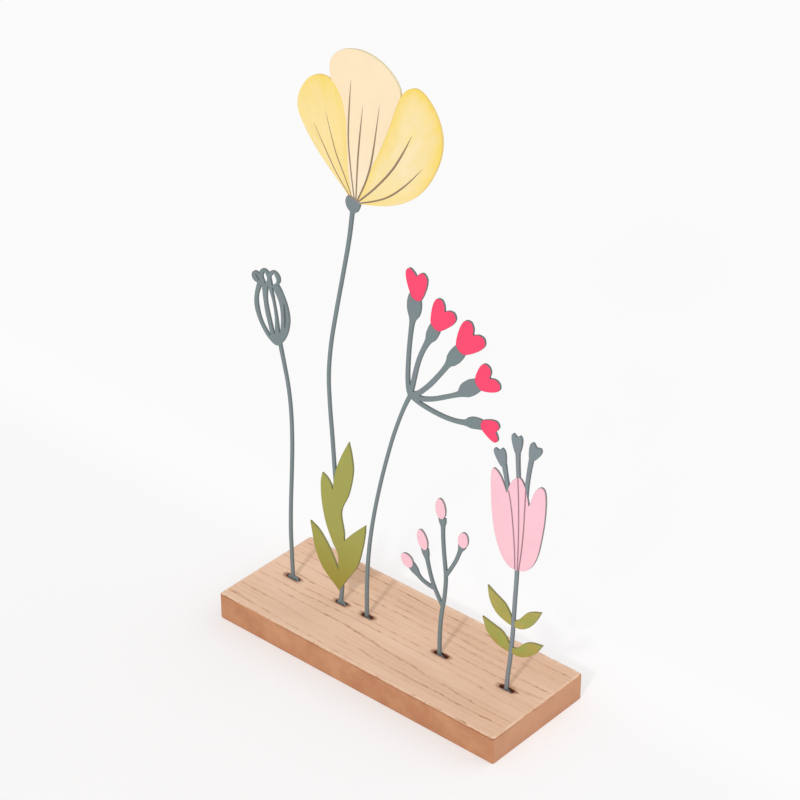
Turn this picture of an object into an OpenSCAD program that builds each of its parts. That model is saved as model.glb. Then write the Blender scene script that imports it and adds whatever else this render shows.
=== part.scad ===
// Metal flower ornament: five cut and painted sheet-steel flowers standing in a wooden board.
// All five stand in one upright plane along the board. X runs along the board, Y away from the
// viewer and Z up. The origin is the middle of the board's underside.
// A flower is made of plates of one thickness. Where two plates cross, each gives up half of its
// thickness there, so that they lie flush in a half-lap joint.

/* [Wooden base] */
// Length of the board
base_l = 180; // [160:1:200]
// Depth of the board, front to back
base_w = 68; // [40:1:90]
// Thickness of the board
base_h = 15; // [13:0.5:20]
// Radius of the upright corners
corner_r = 1.5; // [0.8:0.1:4]
// Bevel that eases the flat edges
edge_bevel = 0.6; // [0.2:0.1:1.2]

/* [Slots and feet] */
// Width of a slot, front to back
slot_w = 2.8; // [2:0.1:4]
// Depth of a slot
slot_d = 11; // [9:0.5:12]
// Length of a foot below the top of the board
foot_d = 10; // [7:0.5:11]
// Gap between the end of a foot and the end of its slot
foot_gap = 0.7; // [0.4:0.1:1.2]
// Height of a foot's sloping shoulders
shoulder_h = 1.8; // [0.8:0.1:3]
// Height of the adhesive in a slot
glue_h = 7; // [3:0.5:8]

/* [Sheet metal] */
// Thickness of a plate
sheet_t = 1.2; // [0.8:0.1:1.8]
// Share of the thickness that the front plate keeps in a half-lap joint
lap_share = 0.5; // [0.3:0.05:0.7]

/* [Smoothness] */
// Straight steps in each stretch of a curve
curve_steps = 9; // [3:1:12]
// Straight steps round a bud
bud_steps = 32; // [16:4:48]

/* [Hidden] */
$fn = 48;

wood = [0.87, 0.73, 0.62];
resin = [0.78, 0.66, 0.42];
steel = [0.47, 0.54, 0.53];
red = [1.00, 0.32, 0.46];
pink = [0.99, 0.78, 0.83];
olive = [0.64, 0.63, 0.31];
yellow = [0.98, 0.86, 0.50];
cream = [0.99, 0.91, 0.78];

// The plane between the two halves of a lapped pair, measured from the front of the sheet
lap_y = sheet_t * lap_share;
// How far a cutting shape runs past the sheet
past = sheet_t;
// Share of its width that a bud loses at its top and gains at its foot
bud_taper = 0.06;

// Each slot: its middle along the board, its length, and how high the foot's shoulders reach above the wood
SLOTS = [
    [-71, 9, 1.6],
    [-37.7, 7.5, 1.2],
    [-20.2, 7.5, -0.6],
    [28.4, 9, -0.6],
    [70, 9, -0.6]
];
POD = 0;
POPPY = 1;
UMBEL = 2;
SPRIG = 3;
TULIP = 4;

// Curves. A point is [x, z], or [x, z, width] on the middle line of a strip.

// Direction of a curve at point i: along the chord of its neighbours
function slope(p, i) =
    i == 0 ? p[1] - p[0] :
    i == len(p) - 1 ? p[i] - p[i - 1] :
    (p[i + 1] - p[i - 1]) / 2;

// Cubic stretch from a to b that leaves along da and arrives along db
function stretch(a, b, da, db, s) =
    a * (2 * pow(s, 3) - 3 * pow(s, 2) + 1) + da * (pow(s, 3) - 2 * pow(s, 2) + s)
    + b * (3 * pow(s, 2) - 2 * pow(s, 3)) + db * (pow(s, 3) - pow(s, 2));

// Smooth curve through all the points
function smooth(p) = [
    for (i = [0 : len(p) - 2], k = [0 : curve_steps - 1])
        stretch(p[i], p[i + 1], slope(p, i), slope(p, i + 1), k / curve_steps),
    p[len(p) - 1]
];

// Smooth closed curve: the curve goes on past its ends, and the ends are cut off again
function smooth_loop(p) =
    let (n = len(p), q = smooth([p[n - 1], each p, p[0], p[1]]))
    [for (k = [0 : n * curve_steps - 1]) q[k + curve_steps]];

function reversed(p) = [for (i = [len(p) - 1 : -1 : 0]) p[i]];

// Unit direction at point i of a fine curve
function heading(q, i) =
    let (a = q[max(i - 1, 0)], b = q[min(i + 1, len(q) - 1)], d = [b.x - a.x, b.y - a.y])
    d / norm(d);

// One side of a strip: the middle line moved sideways by half its width
function strip_side(q, hand) = [
    for (i = [0 : len(q) - 1])
        let (d = heading(q, i))
        [q[i].x - hand * d.y * q[i].z / 2, q[i].y + hand * d.x * q[i].z / 2]
];

// Outline of a strip of changing width along a smooth middle line. Like every outline here that
// is joined to others, it runs anticlockwise
function strip(p) = let (q = smooth(p)) concat(strip_side(q, -1), reversed(strip_side(q, 1)));

// Outline of a leaf: a left and a right side that run smoothly from its root to its tip
function leaf(left, right) = concat(smooth(right), reversed(smooth(left)));

// Outline of a heart that stands on the origin, with its notch at a share of its height. The right
// half is given in half widths and heights, and mirrored
function heart(w, h, notch) =
    let (half = smooth([
        [0, -0.04], [0.40, 0.02], [0.72, 0.28], [0.97, 0.62], [0.97, 0.87], [0.64, 1.00], [0.26, 0.93],
        [0, notch]
    ]))
    concat(
        [for (p = half) [p.x * w / 2, p.y * h]],
        [for (i = [len(half) - 2 : -1 : 1]) [-half[i].x * w / 2, half[i].y * h]]
    );

// Plates

// A plate of the children's outline between two depths, measured from the front of the sheet
module plate(from = 0, to = sheet_t) {
    translate([0, to, 0]) rotate([90, 0, 0]) linear_extrude(to - from) children();
}

// A plate of outline 0 that keeps its front half where outline 1 crosses it
module plate_over() {
    difference() {
        plate() children(0);
        plate(lap_y, sheet_t + past) children(1);
    }
}

// A plate of outline 0 that keeps its back half where outline 1 crosses it
module plate_under() {
    difference() {
        plate() children(0);
        plate(-past, lap_y) children(1);
    }
}

// Wooden base

module slot_outline(i) {
    reach = (SLOTS[i][1] - slot_w) / 2;
    translate([SLOTS[i][0], sheet_t / 2]) {
        square([2 * reach, slot_w], center = true);
        for (side = [-1, 1]) translate([side * reach, 0]) circle(d = slot_w);
    }
}

module rounded_board() {
    square([base_l - 2 * corner_r, base_w], center = true);
    square([base_l, base_w - 2 * corner_r], center = true);
    for (x = [-1, 1], y = [-1, 1])
        translate([x * (base_l / 2 - corner_r), y * (base_w / 2 - corner_r)]) circle(corner_r);
}

// Cross-section of the board with its four edges eased
module eased_section(w) {
    b = edge_bevel;
    polygon([
        [-w / 2 + b, 0], [w / 2 - b, 0], [w / 2, b], [w / 2, base_h - b],
        [w / 2 - b, base_h], [-w / 2 + b, base_h], [-w / 2, base_h - b], [-w / 2, b]
    ]);
}

module wooden_base() {
    color(wood) difference() {
        intersection() {
            linear_extrude(base_h) rounded_board();
            rotate([90, 0, 90]) translate([0, 0, -base_l / 2]) linear_extrude(base_l) eased_section(base_w);
            rotate([90, 0, 0]) translate([0, 0, -base_w / 2]) linear_extrude(base_w) eased_section(base_l);
        }
        for (i = [0 : len(SLOTS) - 1])
            translate([0, 0, base_h - slot_d]) linear_extrude(slot_d + past) slot_outline(i);
    }
}

// Foot of a stalk: a tenon as long as its slot allows, with sloping shoulders up to the stem
module foot_outline(i, stem_x, stem_w) {
    half = SLOTS[i][1] / 2 - foot_gap;
    low = base_h - foot_d;
    top = base_h + SLOTS[i][2];
    x = SLOTS[i][0];
    polygon([
        [x - half, low], [x + half, low], [x + half, top - shoulder_h],
        [stem_x + stem_w / 2, top], [stem_x - stem_w / 2, top], [x - half, top - shoulder_h]
    ]);
}

// A stem and its foot. The stem starts a little inside the foot
module stem_outline(i, path) {
    polygon(strip(path));
    foot_outline(i, path[0].x, path[0].z + foot_gap);
}

STEMS = [
    [[-71.2, 14, 2.1], [-71.6, 28, 2.0], [-71.9, 45, 2.0], [-71.3, 62, 1.9], [-70.2, 80, 1.9],
     [-69.4, 98, 1.9], [-69.6, 115, 1.9], [-71.0, 129, 1.9], [-73.4, 141, 2.0], [-76, 152.5, 2.2]],
    [[-38.2, 14, 2.3], [-37.0, 28, 2.1], [-37.2, 45, 2.0], [-38.8, 65, 2.0], [-40.6, 88, 2.0],
     [-42.2, 112, 2.0], [-43.5, 130, 1.9], [-43.9, 147, 1.9], [-42.0, 165, 1.9], [-38.1, 185, 1.9],
     [-33.8, 205, 1.9], [-29.7, 225, 2.0], [-27.3, 241, 2.2]],
    [[-20.6, 13, 2.1], [-20.3, 35, 2.0], [-19.2, 52, 1.9], [-17.0, 69, 1.8], [-14.0, 85, 1.7],
     [-10.6, 100, 1.7], [-6.7, 115, 1.7], [-2.3, 130, 1.7], [3.1, 145, 1.8], [8.0, 156, 2.2]],
    [[27.2, 13, 2.1], [27.3, 25, 2.0], [27.8, 35, 2.0], [28.8, 43, 2.0], [30.0, 50, 1.9],
     [30.8, 60, 1.9], [30.5, 67, 1.9], [29.5, 76, 1.9], [28.9, 84, 1.9], [28.7, 90.5, 2.2],
     [28.5, 93.2, 4.0], [28.2, 96, 4.6]],
    [[69.5, 13, 2.2], [70.2, 23, 2.1], [71.2, 32, 2.0], [72.0, 41, 2.0], [72.6, 50, 2.0],
     [73.0, 60, 2.0], [73.4, 70, 2.0], [73.9, 80, 2.0], [74.2, 90, 2.2]]
];

// Adhesive round each foot in the bottom of its slot
module slot_glue() {
    color(resin) for (i = [0 : len(SLOTS) - 1]) difference() {
        translate([0, 0, base_h - slot_d]) linear_extrude(glue_h) slot_outline(i);
        plate() foot_outline(i, STEMS[i][0].x, STEMS[i][0].z + foot_gap);
    }
}

// Seed pod: a stem, a ribbed capsule and a crown of three loops, in one cut piece

CAPSULE = [
    [-78.5, 150], [-74.8, 152.2], [-72, 156], [-69.8, 161.5], [-68.9, 167.5], [-69.9, 173.5],
    [-72.2, 179], [-75.8, 184.2], [-82, 186.5], [-87.6, 185], [-90.4, 179], [-92.1, 171], [-91.5, 164.8],
    [-88.5, 158.2], [-84, 152.8]
];
// Crown loops: middle and radius
CROWN = [[-90.4, 183.8, 3], [-84.6, 186.5, 3.5], [-78.3, 187.3, 3.8]];
// Openings between the ribs, then those in the loops
SLITS = [
    [[-87, 179.8, 0.7], [-87.8, 172.5, 3.8], [-86.9, 165.5, 4.2], [-85, 160, 3.6], [-82.1, 154.4, 0.8]],
    [[-82.6, 180.6, 0.8], [-81.7, 173.5, 3.7], [-80.3, 165.5, 3.4], [-79.2, 156.4, 0.8]],
    [[-79.5, 181.3, 0.9], [-76.9, 174, 3.2], [-75.7, 166, 2.5], [-75.6, 158.4, 0.8]],
    [[-72.2, 175.2, 0.4], [-71.7, 169, 1.0], [-71.9, 162, 0.4]],
    [[-90.5, 185, 0.5], [-89.4, 183.8, 0.9], [-88.3, 182.6, 0.5]],
    [[-84.7, 188.2, 0.7], [-84.5, 185.4, 3.0], [-84.4, 182.6, 0.8]],
    [[-78.5, 189.2, 1.0], [-78.8, 186.3, 4.0], [-79.7, 183.2, 0.8]]
];

// A strip with round ends
module slit_outline(path) {
    polygon(strip(path));
    for (end = [path[0], path[len(path) - 1]]) translate([end.x, end.y]) circle(d = end.z);
}

module seed_pod() {
    color(steel) plate() difference() {
        union() {
            stem_outline(POD, STEMS[POD]);
            polygon(smooth_loop(CAPSULE));
            for (c = CROWN) translate([c.x, c.y]) circle(c.z);
        }
        for (s = SLITS) slit_outline(s);
    }
}

// Poppy: a stalk with a cup-shaped receptacle, three petals, and a spray of leaves across the stem

RECEPTACLE = [
    [-29.6, 248], [-31.4, 244.6], [-30.2, 241.2], [-27.4, 239.6], [-24.4, 240.7], [-22.7, 243.8],
    [-22.4, 246.3], [-25.8, 247.9]
];
// Tongue of the stalk that lies behind the three petals
TONGUE = [[-26.5, 245], [-31, 251.5], [-31.5, 258.5], [-25, 263.5], [-18, 259.5], [-18, 251.5]];
LEFT_PETAL = [
    [-27, 245], [-29.2, 258], [-30, 272], [-30.5, 285], [-33, 295.5], [-38, 302], [-45, 303.4],
    [-52.5, 300], [-58.2, 292.5], [-60.3, 284.5], [-57.6, 276.8], [-50.2, 267], [-40.2, 257.3],
    [-32, 250.2], [-27, 245]
];
MIDDLE_PETAL = [
    [-27.7, 245], [-31.2, 260], [-33.8, 280], [-36.5, 295], [-39.8, 306], [-38.9, 313.2], [-33, 318.9],
    [-24.2, 321.7], [-16, 321.7], [-8, 319.3], [-2.5, 315.6], [1, 311.6], [2.2, 307], [-0.5, 295],
    [-8, 277], [-18, 258], [-24.3, 245]
];
RIGHT_PETAL = [
    [-25, 245], [-20.3, 255.5], [-15, 266.5], [-9.6, 277.5], [-4.6, 289.5], [-0.6, 300], [3.4, 308.3],
    [8, 312.2], [13, 312.9], [18.5, 309.5], [23.5, 303], [26.2, 295], [26, 286.5], [22.6, 276.3],
    [15.7, 265.1], [6.2, 256.3], [-6, 250.2], [-17, 247], [-25, 245]
];

// Leaves of the spray: left and right side of each, seen along the leaf from its root to its tip
SPRAY = [
    [[[-38, 36], [-41.5, 62], [-42.2, 80], [-40.3, 92.5], [-36.5, 102.8], [-31.2, 113.6]],
     [[-38, 36], [-35, 56], [-36.7, 70.3], [-31.6, 83], [-28.6, 97], [-29.4, 106.5], [-31.2, 113.6]]],
    [[[-39.2, 36], [-39.4, 44], [-43.2, 50.8], [-47.2, 60], [-49.6, 71], [-50.2, 82], [-49, 88.8]],
     [[-38, 36], [-37, 52], [-38.5, 68], [-42.2, 81.5], [-45.2, 86.6], [-49, 88.8]]],
    [[[-38.6, 22.2], [-39, 38], [-36, 52], [-33.9, 55.5], [-28.5, 61.8], [-20.8, 69.6]],
     [[-38.6, 22.2], [-32.7, 32.4], [-26.5, 42.2], [-22.9, 54.3], [-21.1, 64], [-20.8, 69.6]]],
    [[[-38.6, 22.2], [-49.3, 31], [-54.6, 40.5], [-56.5, 49.5], [-57.8, 56.4]],
     [[-38.6, 22.2], [-38.6, 32], [-40.8, 38], [-46.2, 47], [-51.8, 53.3], [-57.8, 56.4]]]
];

module receptacle_outline() {
    polygon(smooth_loop(RECEPTACLE));
}

module tongue_outline() {
    polygon(smooth_loop(TONGUE));
}

module spray_outline() {
    for (s = SPRAY) polygon(leaf(s[0], s[1]));
}

// A petal in front of the next plates, cut off at the receptacle
module petal(colour) {
    color(colour) difference() {
        plate_over() {
            children(0);
            children(1);
        }
        plate(-past, sheet_t + past) receptacle_outline();
    }
}

module poppy_stalk() {
    color(steel) {
        plate_under() {
            union() {
                stem_outline(POPPY, STEMS[POPPY]);
                receptacle_outline();
            }
            spray_outline();
        }
        plate(lap_y, sheet_t) tongue_outline();
    }
}

module poppy_left_petal() {
    petal(yellow) {
        polygon(smooth(LEFT_PETAL));
        union() {
            polygon(smooth(MIDDLE_PETAL));
            tongue_outline();
        }
    }
}

module poppy_right_petal() {
    petal(yellow) {
        polygon(smooth(RIGHT_PETAL));
        union() {
            polygon(smooth(MIDDLE_PETAL));
            tongue_outline();
        }
    }
}

// The middle petal shows between the others and goes on behind them
module poppy_middle_petal() {
    difference() {
        petal(cream) {
            polygon(smooth(MIDDLE_PETAL));
            tongue_outline();
        }
        plate(-past, lap_y) {
            polygon(smooth(LEFT_PETAL));
            polygon(smooth(RIGHT_PETAL));
        }
    }
}

module leaf_spray() {
    color(olive) plate_over() {
        spray_outline();
        polygon(strip(STEMS[POPPY]));
    }
}

// Umbel: a stalk that fans into five rays, each ending in a calyx that holds a heart

RAYS = [
    [[8, 155.4, 2.6], [6.8, 159.4, 2.5], [6.4, 166, 2.3], [6.7, 174, 2.2], [7.3, 182, 2.2],
     [8.2, 190, 2.3], [9.1, 196.3, 3.2], [9.8, 200.5, 7.0], [10.3, 204.8, 8.4], [10.7, 209.2, 7.2],
     [11, 213, 3]],
    [[7.8, 156, 2.6], [9.2, 161, 2.5], [10.6, 167.2, 2.5], [12, 173, 2.4], [13.7, 178.4, 2.4],
     [16, 183.8, 2.5], [18.7, 189, 3.4], [20.1, 191.7, 5.6], [21.6, 194.7, 6.4], [23.2, 198.2, 6],
     [25, 202, 3]],
    [[7.8, 156, 2.4], [12.8, 158.8, 2.6], [16.4, 162.3, 2.6], [20.2, 166.6, 2.6], [24.1, 171.7, 2.5],
     [27.7, 176.7, 2.5], [30.8, 181.4, 3.3], [33, 184.5, 6.2], [35.4, 187.8, 7.2], [38.2, 191.8, 6.4],
     [40.5, 195, 3]],
    [[7.8, 155.6, 2.4], [14, 156.5, 2.6], [18.4, 157.8, 2.4], [23.4, 160, 2.3], [28.4, 162.8, 2.3],
     [33.3, 165.6, 2.3], [37.9, 168.5, 3.2], [41, 171.4, 6.8], [44.7, 174.5, 7.8], [48.8, 177.6, 6.0],
     [52, 179.7, 3]],
    [[7.8, 155.8, 2.4], [13, 154, 2.3], [18, 153.1, 2.3], [24, 152.5, 2.3], [30, 152.4, 2.3],
     [36, 153, 2.3], [41.3, 154.3, 2.9], [44.2, 155.4, 5.3], [47.5, 156.6, 6.0], [51.6, 157.4, 5.2],
     [54, 157.8, 3]]
];
// Hearts: foot of the heart, lean from upright, width, height and notch
HEARTS = [
    [11.8, 208.4, 0, 13.0, 15.0, 0.80],
    [22.7, 197.9, 30, 13.8, 15.8, 0.77],
    [37.8, 191.7, 36, 15.0, 17.4, 0.76],
    [48.8, 177.4, 47, 14.2, 13.0, 0.71],
    [51.4, 157.5, 95, 11.6, 10.2, 0.82]
];

module heart_outline(i) {
    h = HEARTS[i];
    translate([h[0], h[1]]) rotate(-h[2]) polygon(heart(h[3], h[4], h[5]));
}

module umbel_stalk() {
    color(steel) plate_under() {
        union() {
            stem_outline(UMBEL, STEMS[UMBEL]);
            for (r = RAYS) polygon(strip(r));
        }
        for (i = [0 : len(HEARTS) - 1]) heart_outline(i);
    }
}

module umbel_heart(i) {
    color(red) plate_over() {
        heart_outline(i);
        polygon(strip(RAYS[i]));
    }
}

// Sprig: a branched stalk with a bud in the cup at each end. The first cup ends the stem itself

BRANCHES = [
    STEMS[SPRIG],
    [[31.2, 64, 2.0], [34.2, 69.4, 1.9], [37, 75, 1.9], [38.9, 80, 2.0], [39.7, 82.3, 2.6],
     [40.5, 84.3, 4.1], [41.1, 86.2, 4.6]],
    [[29.2, 44, 2.0], [26.2, 48.8, 2.0], [23.6, 53.5, 2.0], [21.7, 58, 1.9], [20.2, 63, 1.9],
     [19, 67.6, 2.2], [18.2, 70.4, 4.0], [17.4, 73.4, 4.6]],
    [[24.6, 52.6, 2.0], [20, 53, 2.0], [16.2, 54, 2.0], [13.4, 55.8, 2.6], [11.2, 57.8, 4.8],
     [8.8, 59.8, 5.2]]
];
// Buds: middle, lean from upright, width and height
BUDS = [
    [27.3, 100.6, -3, 6.2, 11.4],
    [41.5, 88.8, 13, 6.0, 9.2],
    [16, 77.8, -16, 6.2, 11.2],
    [6.3, 61.4, -50, 7.2, 8.2]
];

// Egg-shaped bud: an ellipse that is a little narrower towards its top
module bud_outline(i) {
    b = BUDS[i];
    translate([b[0], b[1]]) rotate(-b[2]) polygon([
        for (k = [0 : bud_steps - 1])
            let (a = 360 * k / bud_steps)
            [b[3] / 2 * cos(a) * (1 - bud_taper * sin(a)), b[4] / 2 * sin(a)]
    ]);
}

module sprig_stalk() {
    color(steel) plate_under() {
        union() {
            stem_outline(SPRIG, STEMS[SPRIG]);
            for (b = BRANCHES) polygon(strip(b));
        }
        for (i = [0 : len(BUDS) - 1]) bud_outline(i);
    }
}

module sprig_bud(i) {
    color(pink) plate_over() {
        bud_outline(i);
        polygon(strip(BRANCHES[i]));
    }
}

// Tulip: a stalk that splits into three stamens behind the cup, and two pairs of leaves

CUP_LEFT = [
    [73.8, 86.6], [69.8, 86.9], [66, 89.8], [63, 95], [60.6, 102], [59, 110], [58, 120], [57.6, 131],
    [58.2, 136.2], [59.8, 137.2], [62.6, 135.4], [65, 131.8], [67.3, 127]
];
CUP_MIDDLE = [
    [67.3, 127], [68.6, 131.6], [70.6, 135.4], [74.2, 138.2], [77.2, 135.4], [79, 130.5], [80.2, 125]
];
CUP_RIGHT = [
    [80.2, 125], [81.6, 129.4], [83.2, 133.8], [85.2, 137], [87.6, 138.2], [89.4, 136.2], [90, 130],
    [89.5, 120], [88.2, 110], [86.2, 100], [83.2, 92.8], [79, 88.4], [73.8, 86.6]
];
STAMENS = [
    [[74.2, 86, 1.8], [73.4, 95, 1.8], [72.4, 104, 1.8], [70.6, 117, 1.9], [68.3, 127, 2.0],
     [66.6, 134, 2.2], [65, 141.5, 2.8]],
    [[74.2, 86, 1.8], [74.6, 98, 1.8], [74.5, 110, 1.8], [74.1, 125, 2.0], [73.5, 138, 2.1],
     [73, 146, 2.2], [72.7, 152, 2.6]],
    [[74.2, 86, 1.8], [76, 95, 1.8], [77.3, 108, 1.8], [78.1, 122, 1.9], [78.6, 134, 2.0],
     [79.5, 143, 2.2], [80.9, 152, 2.6]]
];
// Heads of the stamens, listed as the hearts are
ANTHERS = [
    [64.7, 140.2, -19, 6.9, 9.4, 0.86],
    [72.6, 150.4, -3, 6.3, 10.1, 0.87],
    [80.7, 150.6, 20, 6.9, 9.3, 0.86]
];
// Leaves: left and right side of each, seen along the leaf from the stem's middle line to the tip
TULIP_LEAVES = [
    [[[72.8, 53.6], [68.2, 54.5], [62.5, 57.1], [58.5, 62.8], [57, 70.4]],
     [[72.8, 56.8], [70.6, 60.8], [67.6, 64.6], [62, 67.5], [57, 70.4]]],
    [[[72.8, 56.8], [76.2, 59.2], [80.6, 64.8], [84.8, 67.6], [89.6, 69.4]],
     [[72.8, 53.6], [78.2, 54.5], [83.4, 58.4], [87, 63.8], [89.6, 69.4]]],
    [[[71.9, 37.7], [66.6, 38.1], [61.2, 39.9], [56.8, 44.2], [54.2, 50.8]],
     [[71.9, 41.2], [70, 44], [66.6, 47.6], [60.8, 49.2], [54.2, 50.8]]],
    [[[71.9, 41.2], [75.6, 42.2], [80, 47], [84.6, 49.6], [91, 50.9]],
     [[71.9, 37.7], [77.6, 38], [83.2, 41], [87.4, 45], [91, 50.9]]]
];

module cup_outline() {
    polygon(concat(smooth(CUP_LEFT), smooth(CUP_MIDDLE), smooth(CUP_RIGHT)));
}

module tulip_leaf_outline(i) {
    polygon(leaf(TULIP_LEAVES[i][0], TULIP_LEAVES[i][1]));
}

module tulip_stalk_outline() {
    stem_outline(TULIP, STEMS[TULIP]);
    for (s = STAMENS) polygon(strip(s));
    for (h = ANTHERS) translate([h[0], h[1]]) rotate(-h[2]) polygon(heart(h[3], h[4], h[5]));
}

module tulip_stalk() {
    color(steel) difference() {
        plate_under() {
            tulip_stalk_outline();
            cup_outline();
        }
        plate(lap_y, sheet_t + past)
            for (i = [0 : len(TULIP_LEAVES) - 1]) tulip_leaf_outline(i);
    }
}

module tulip_cup() {
    color(pink) plate_over() {
        cup_outline();
        tulip_stalk_outline();
    }
}

module tulip_leaf(i) {
    color(olive) plate_under() {
        tulip_leaf_outline(i);
        polygon(strip(STEMS[TULIP]));
    }
}

wooden_base();
slot_glue();
seed_pod();
poppy_stalk();
poppy_left_petal();
poppy_middle_petal();
poppy_right_petal();
leaf_spray();
umbel_stalk();
for (i = [0 : len(HEARTS) - 1])
    umbel_heart(i);
sprig_stalk();
for (i = [0 : len(BUDS) - 1])
    sprig_bud(i);
tulip_stalk();
tulip_cup();
for (i = [0 : len(TULIP_LEAVES) - 1])
    tulip_leaf(i);
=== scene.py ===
"""Looks of a metal flower ornament: enamelled sheet-steel flowers standing in a veneered board.

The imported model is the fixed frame. Every plate is worked out again from the outline of its own node, as a
grid of small cells with a rounded rim, so that it keeps the node's place, its size and its half-lap joints.
"""

import logging
import math
from collections.abc import Callable
from dataclasses import dataclass, field
from enum import Enum, IntEnum
from typing import NamedTuple

import bpy
import numpy as np
from mathutils import Matrix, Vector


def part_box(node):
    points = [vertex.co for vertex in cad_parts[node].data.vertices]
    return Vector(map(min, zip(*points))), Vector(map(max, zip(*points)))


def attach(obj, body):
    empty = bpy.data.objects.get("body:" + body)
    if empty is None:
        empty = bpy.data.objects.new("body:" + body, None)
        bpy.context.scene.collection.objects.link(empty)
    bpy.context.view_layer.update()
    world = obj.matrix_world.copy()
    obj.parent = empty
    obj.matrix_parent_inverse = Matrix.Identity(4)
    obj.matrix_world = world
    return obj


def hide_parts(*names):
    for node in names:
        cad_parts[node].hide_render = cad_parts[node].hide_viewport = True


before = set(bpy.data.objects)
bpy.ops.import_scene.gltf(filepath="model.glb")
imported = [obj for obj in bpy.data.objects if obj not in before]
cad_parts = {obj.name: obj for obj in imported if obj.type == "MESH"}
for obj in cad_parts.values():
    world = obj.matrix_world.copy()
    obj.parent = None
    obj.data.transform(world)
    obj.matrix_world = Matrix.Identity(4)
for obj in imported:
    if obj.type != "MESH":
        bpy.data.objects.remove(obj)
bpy.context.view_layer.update()  # the imported model's meshes, in place

LOG = logging.getLogger("flower_ornament")
MM = 0.001
BODY = "root"

# Places closer than this are one place, and a face whose depth varies by less than that lies flat
SAME = 0.001 * MM
FLAT = 0.01 * MM

# Angle from which an edge between two faces looks sharp, and strength of every material's gloss
CREASE = math.radians(50)
SPECULAR = 0.3

# Roughness of bare wood, and what its fibres add
WOOD_ROUGHNESS = 0.62
FIBRE_ROUGHNESS = 0.2

Array = np.ndarray
Colour = tuple[int, int, int]
Rgba = tuple[float, float, float, float]
Points = tuple[tuple[float, float], ...]
Stretch = tuple[float, float, float]


class Slot(Enum):
    """Material slots of the ornament's pieces."""

    WOOD = "bare_wood"
    ADHESIVE = "adhesive"
    GREY = "grey_enamel"
    RED = "red_enamel"
    PINK = "pink_enamel"
    OLIVE = "olive_enamel"
    YELLOW = "yellow_enamel"
    CREAM = "cream_enamel"


class Plane(Enum):
    """How a flat piece lies: the two axes of its face, then the axis and the sign of its depth."""

    UPRIGHT = ((0, 2), 1, 1.0)
    LEVEL = ((0, 1), 2, -1.0)


class Row(IntEnum):
    """Layers and rim rows of a flat piece, from its front to its back."""

    FRONT = 0
    FRONT_LAP = 1
    FRONT_ARC = 2
    FRONT_WALL = 3
    LAP_WALL = 4
    BACK_WALL = 5
    BACK_ARC = 6
    BACK_LAP = 7
    BACK = 8


class Zone(IntEnum):
    """Parts of a flat piece's surface, in the order of its materials."""

    FACE = 0
    RIM = 1
    STEP = 2


def linear(colour: Colour) -> Rgba:
    """Turns an sRGB colour into linear light.

    Args:
        colour: Red, green and blue from 0 to 255.

    Returns:
        Linear red, green and blue from 0 to 1, and an alpha of 1.
    """
    share = np.asarray(colour) / 255
    light = np.where(share <= 0.04045, share / 12.92, ((share + 0.055) / 1.055) ** 2.4)
    return (*light.tolist(), 1.0)


def rise(value: Array, low: float, high: float) -> Array:
    """A smooth rise from 0 to 1 between two values: three times the share squared, less twice its cube."""
    share = np.clip((value - low) / (high - low), 0, 1)
    return share**2 * (3 - 2 * share)


def places(thing: bpy.types.Object) -> Array:
    """Reads the positions of an object's vertices.

    Args:
        thing: The object.

    Returns:
        Positions, shape (vertices, 3).
    """
    points = np.empty(3 * len(thing.data.vertices), np.float32)
    thing.data.vertices.foreach_get("co", points)
    return points.reshape(-1, 3).astype(float)


def whole(points: Array) -> Array:
    """Points in whole steps of the distance within which places are the same."""
    return np.round(points / SAME).astype(int)


# Outlines and solids of the frame


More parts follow.
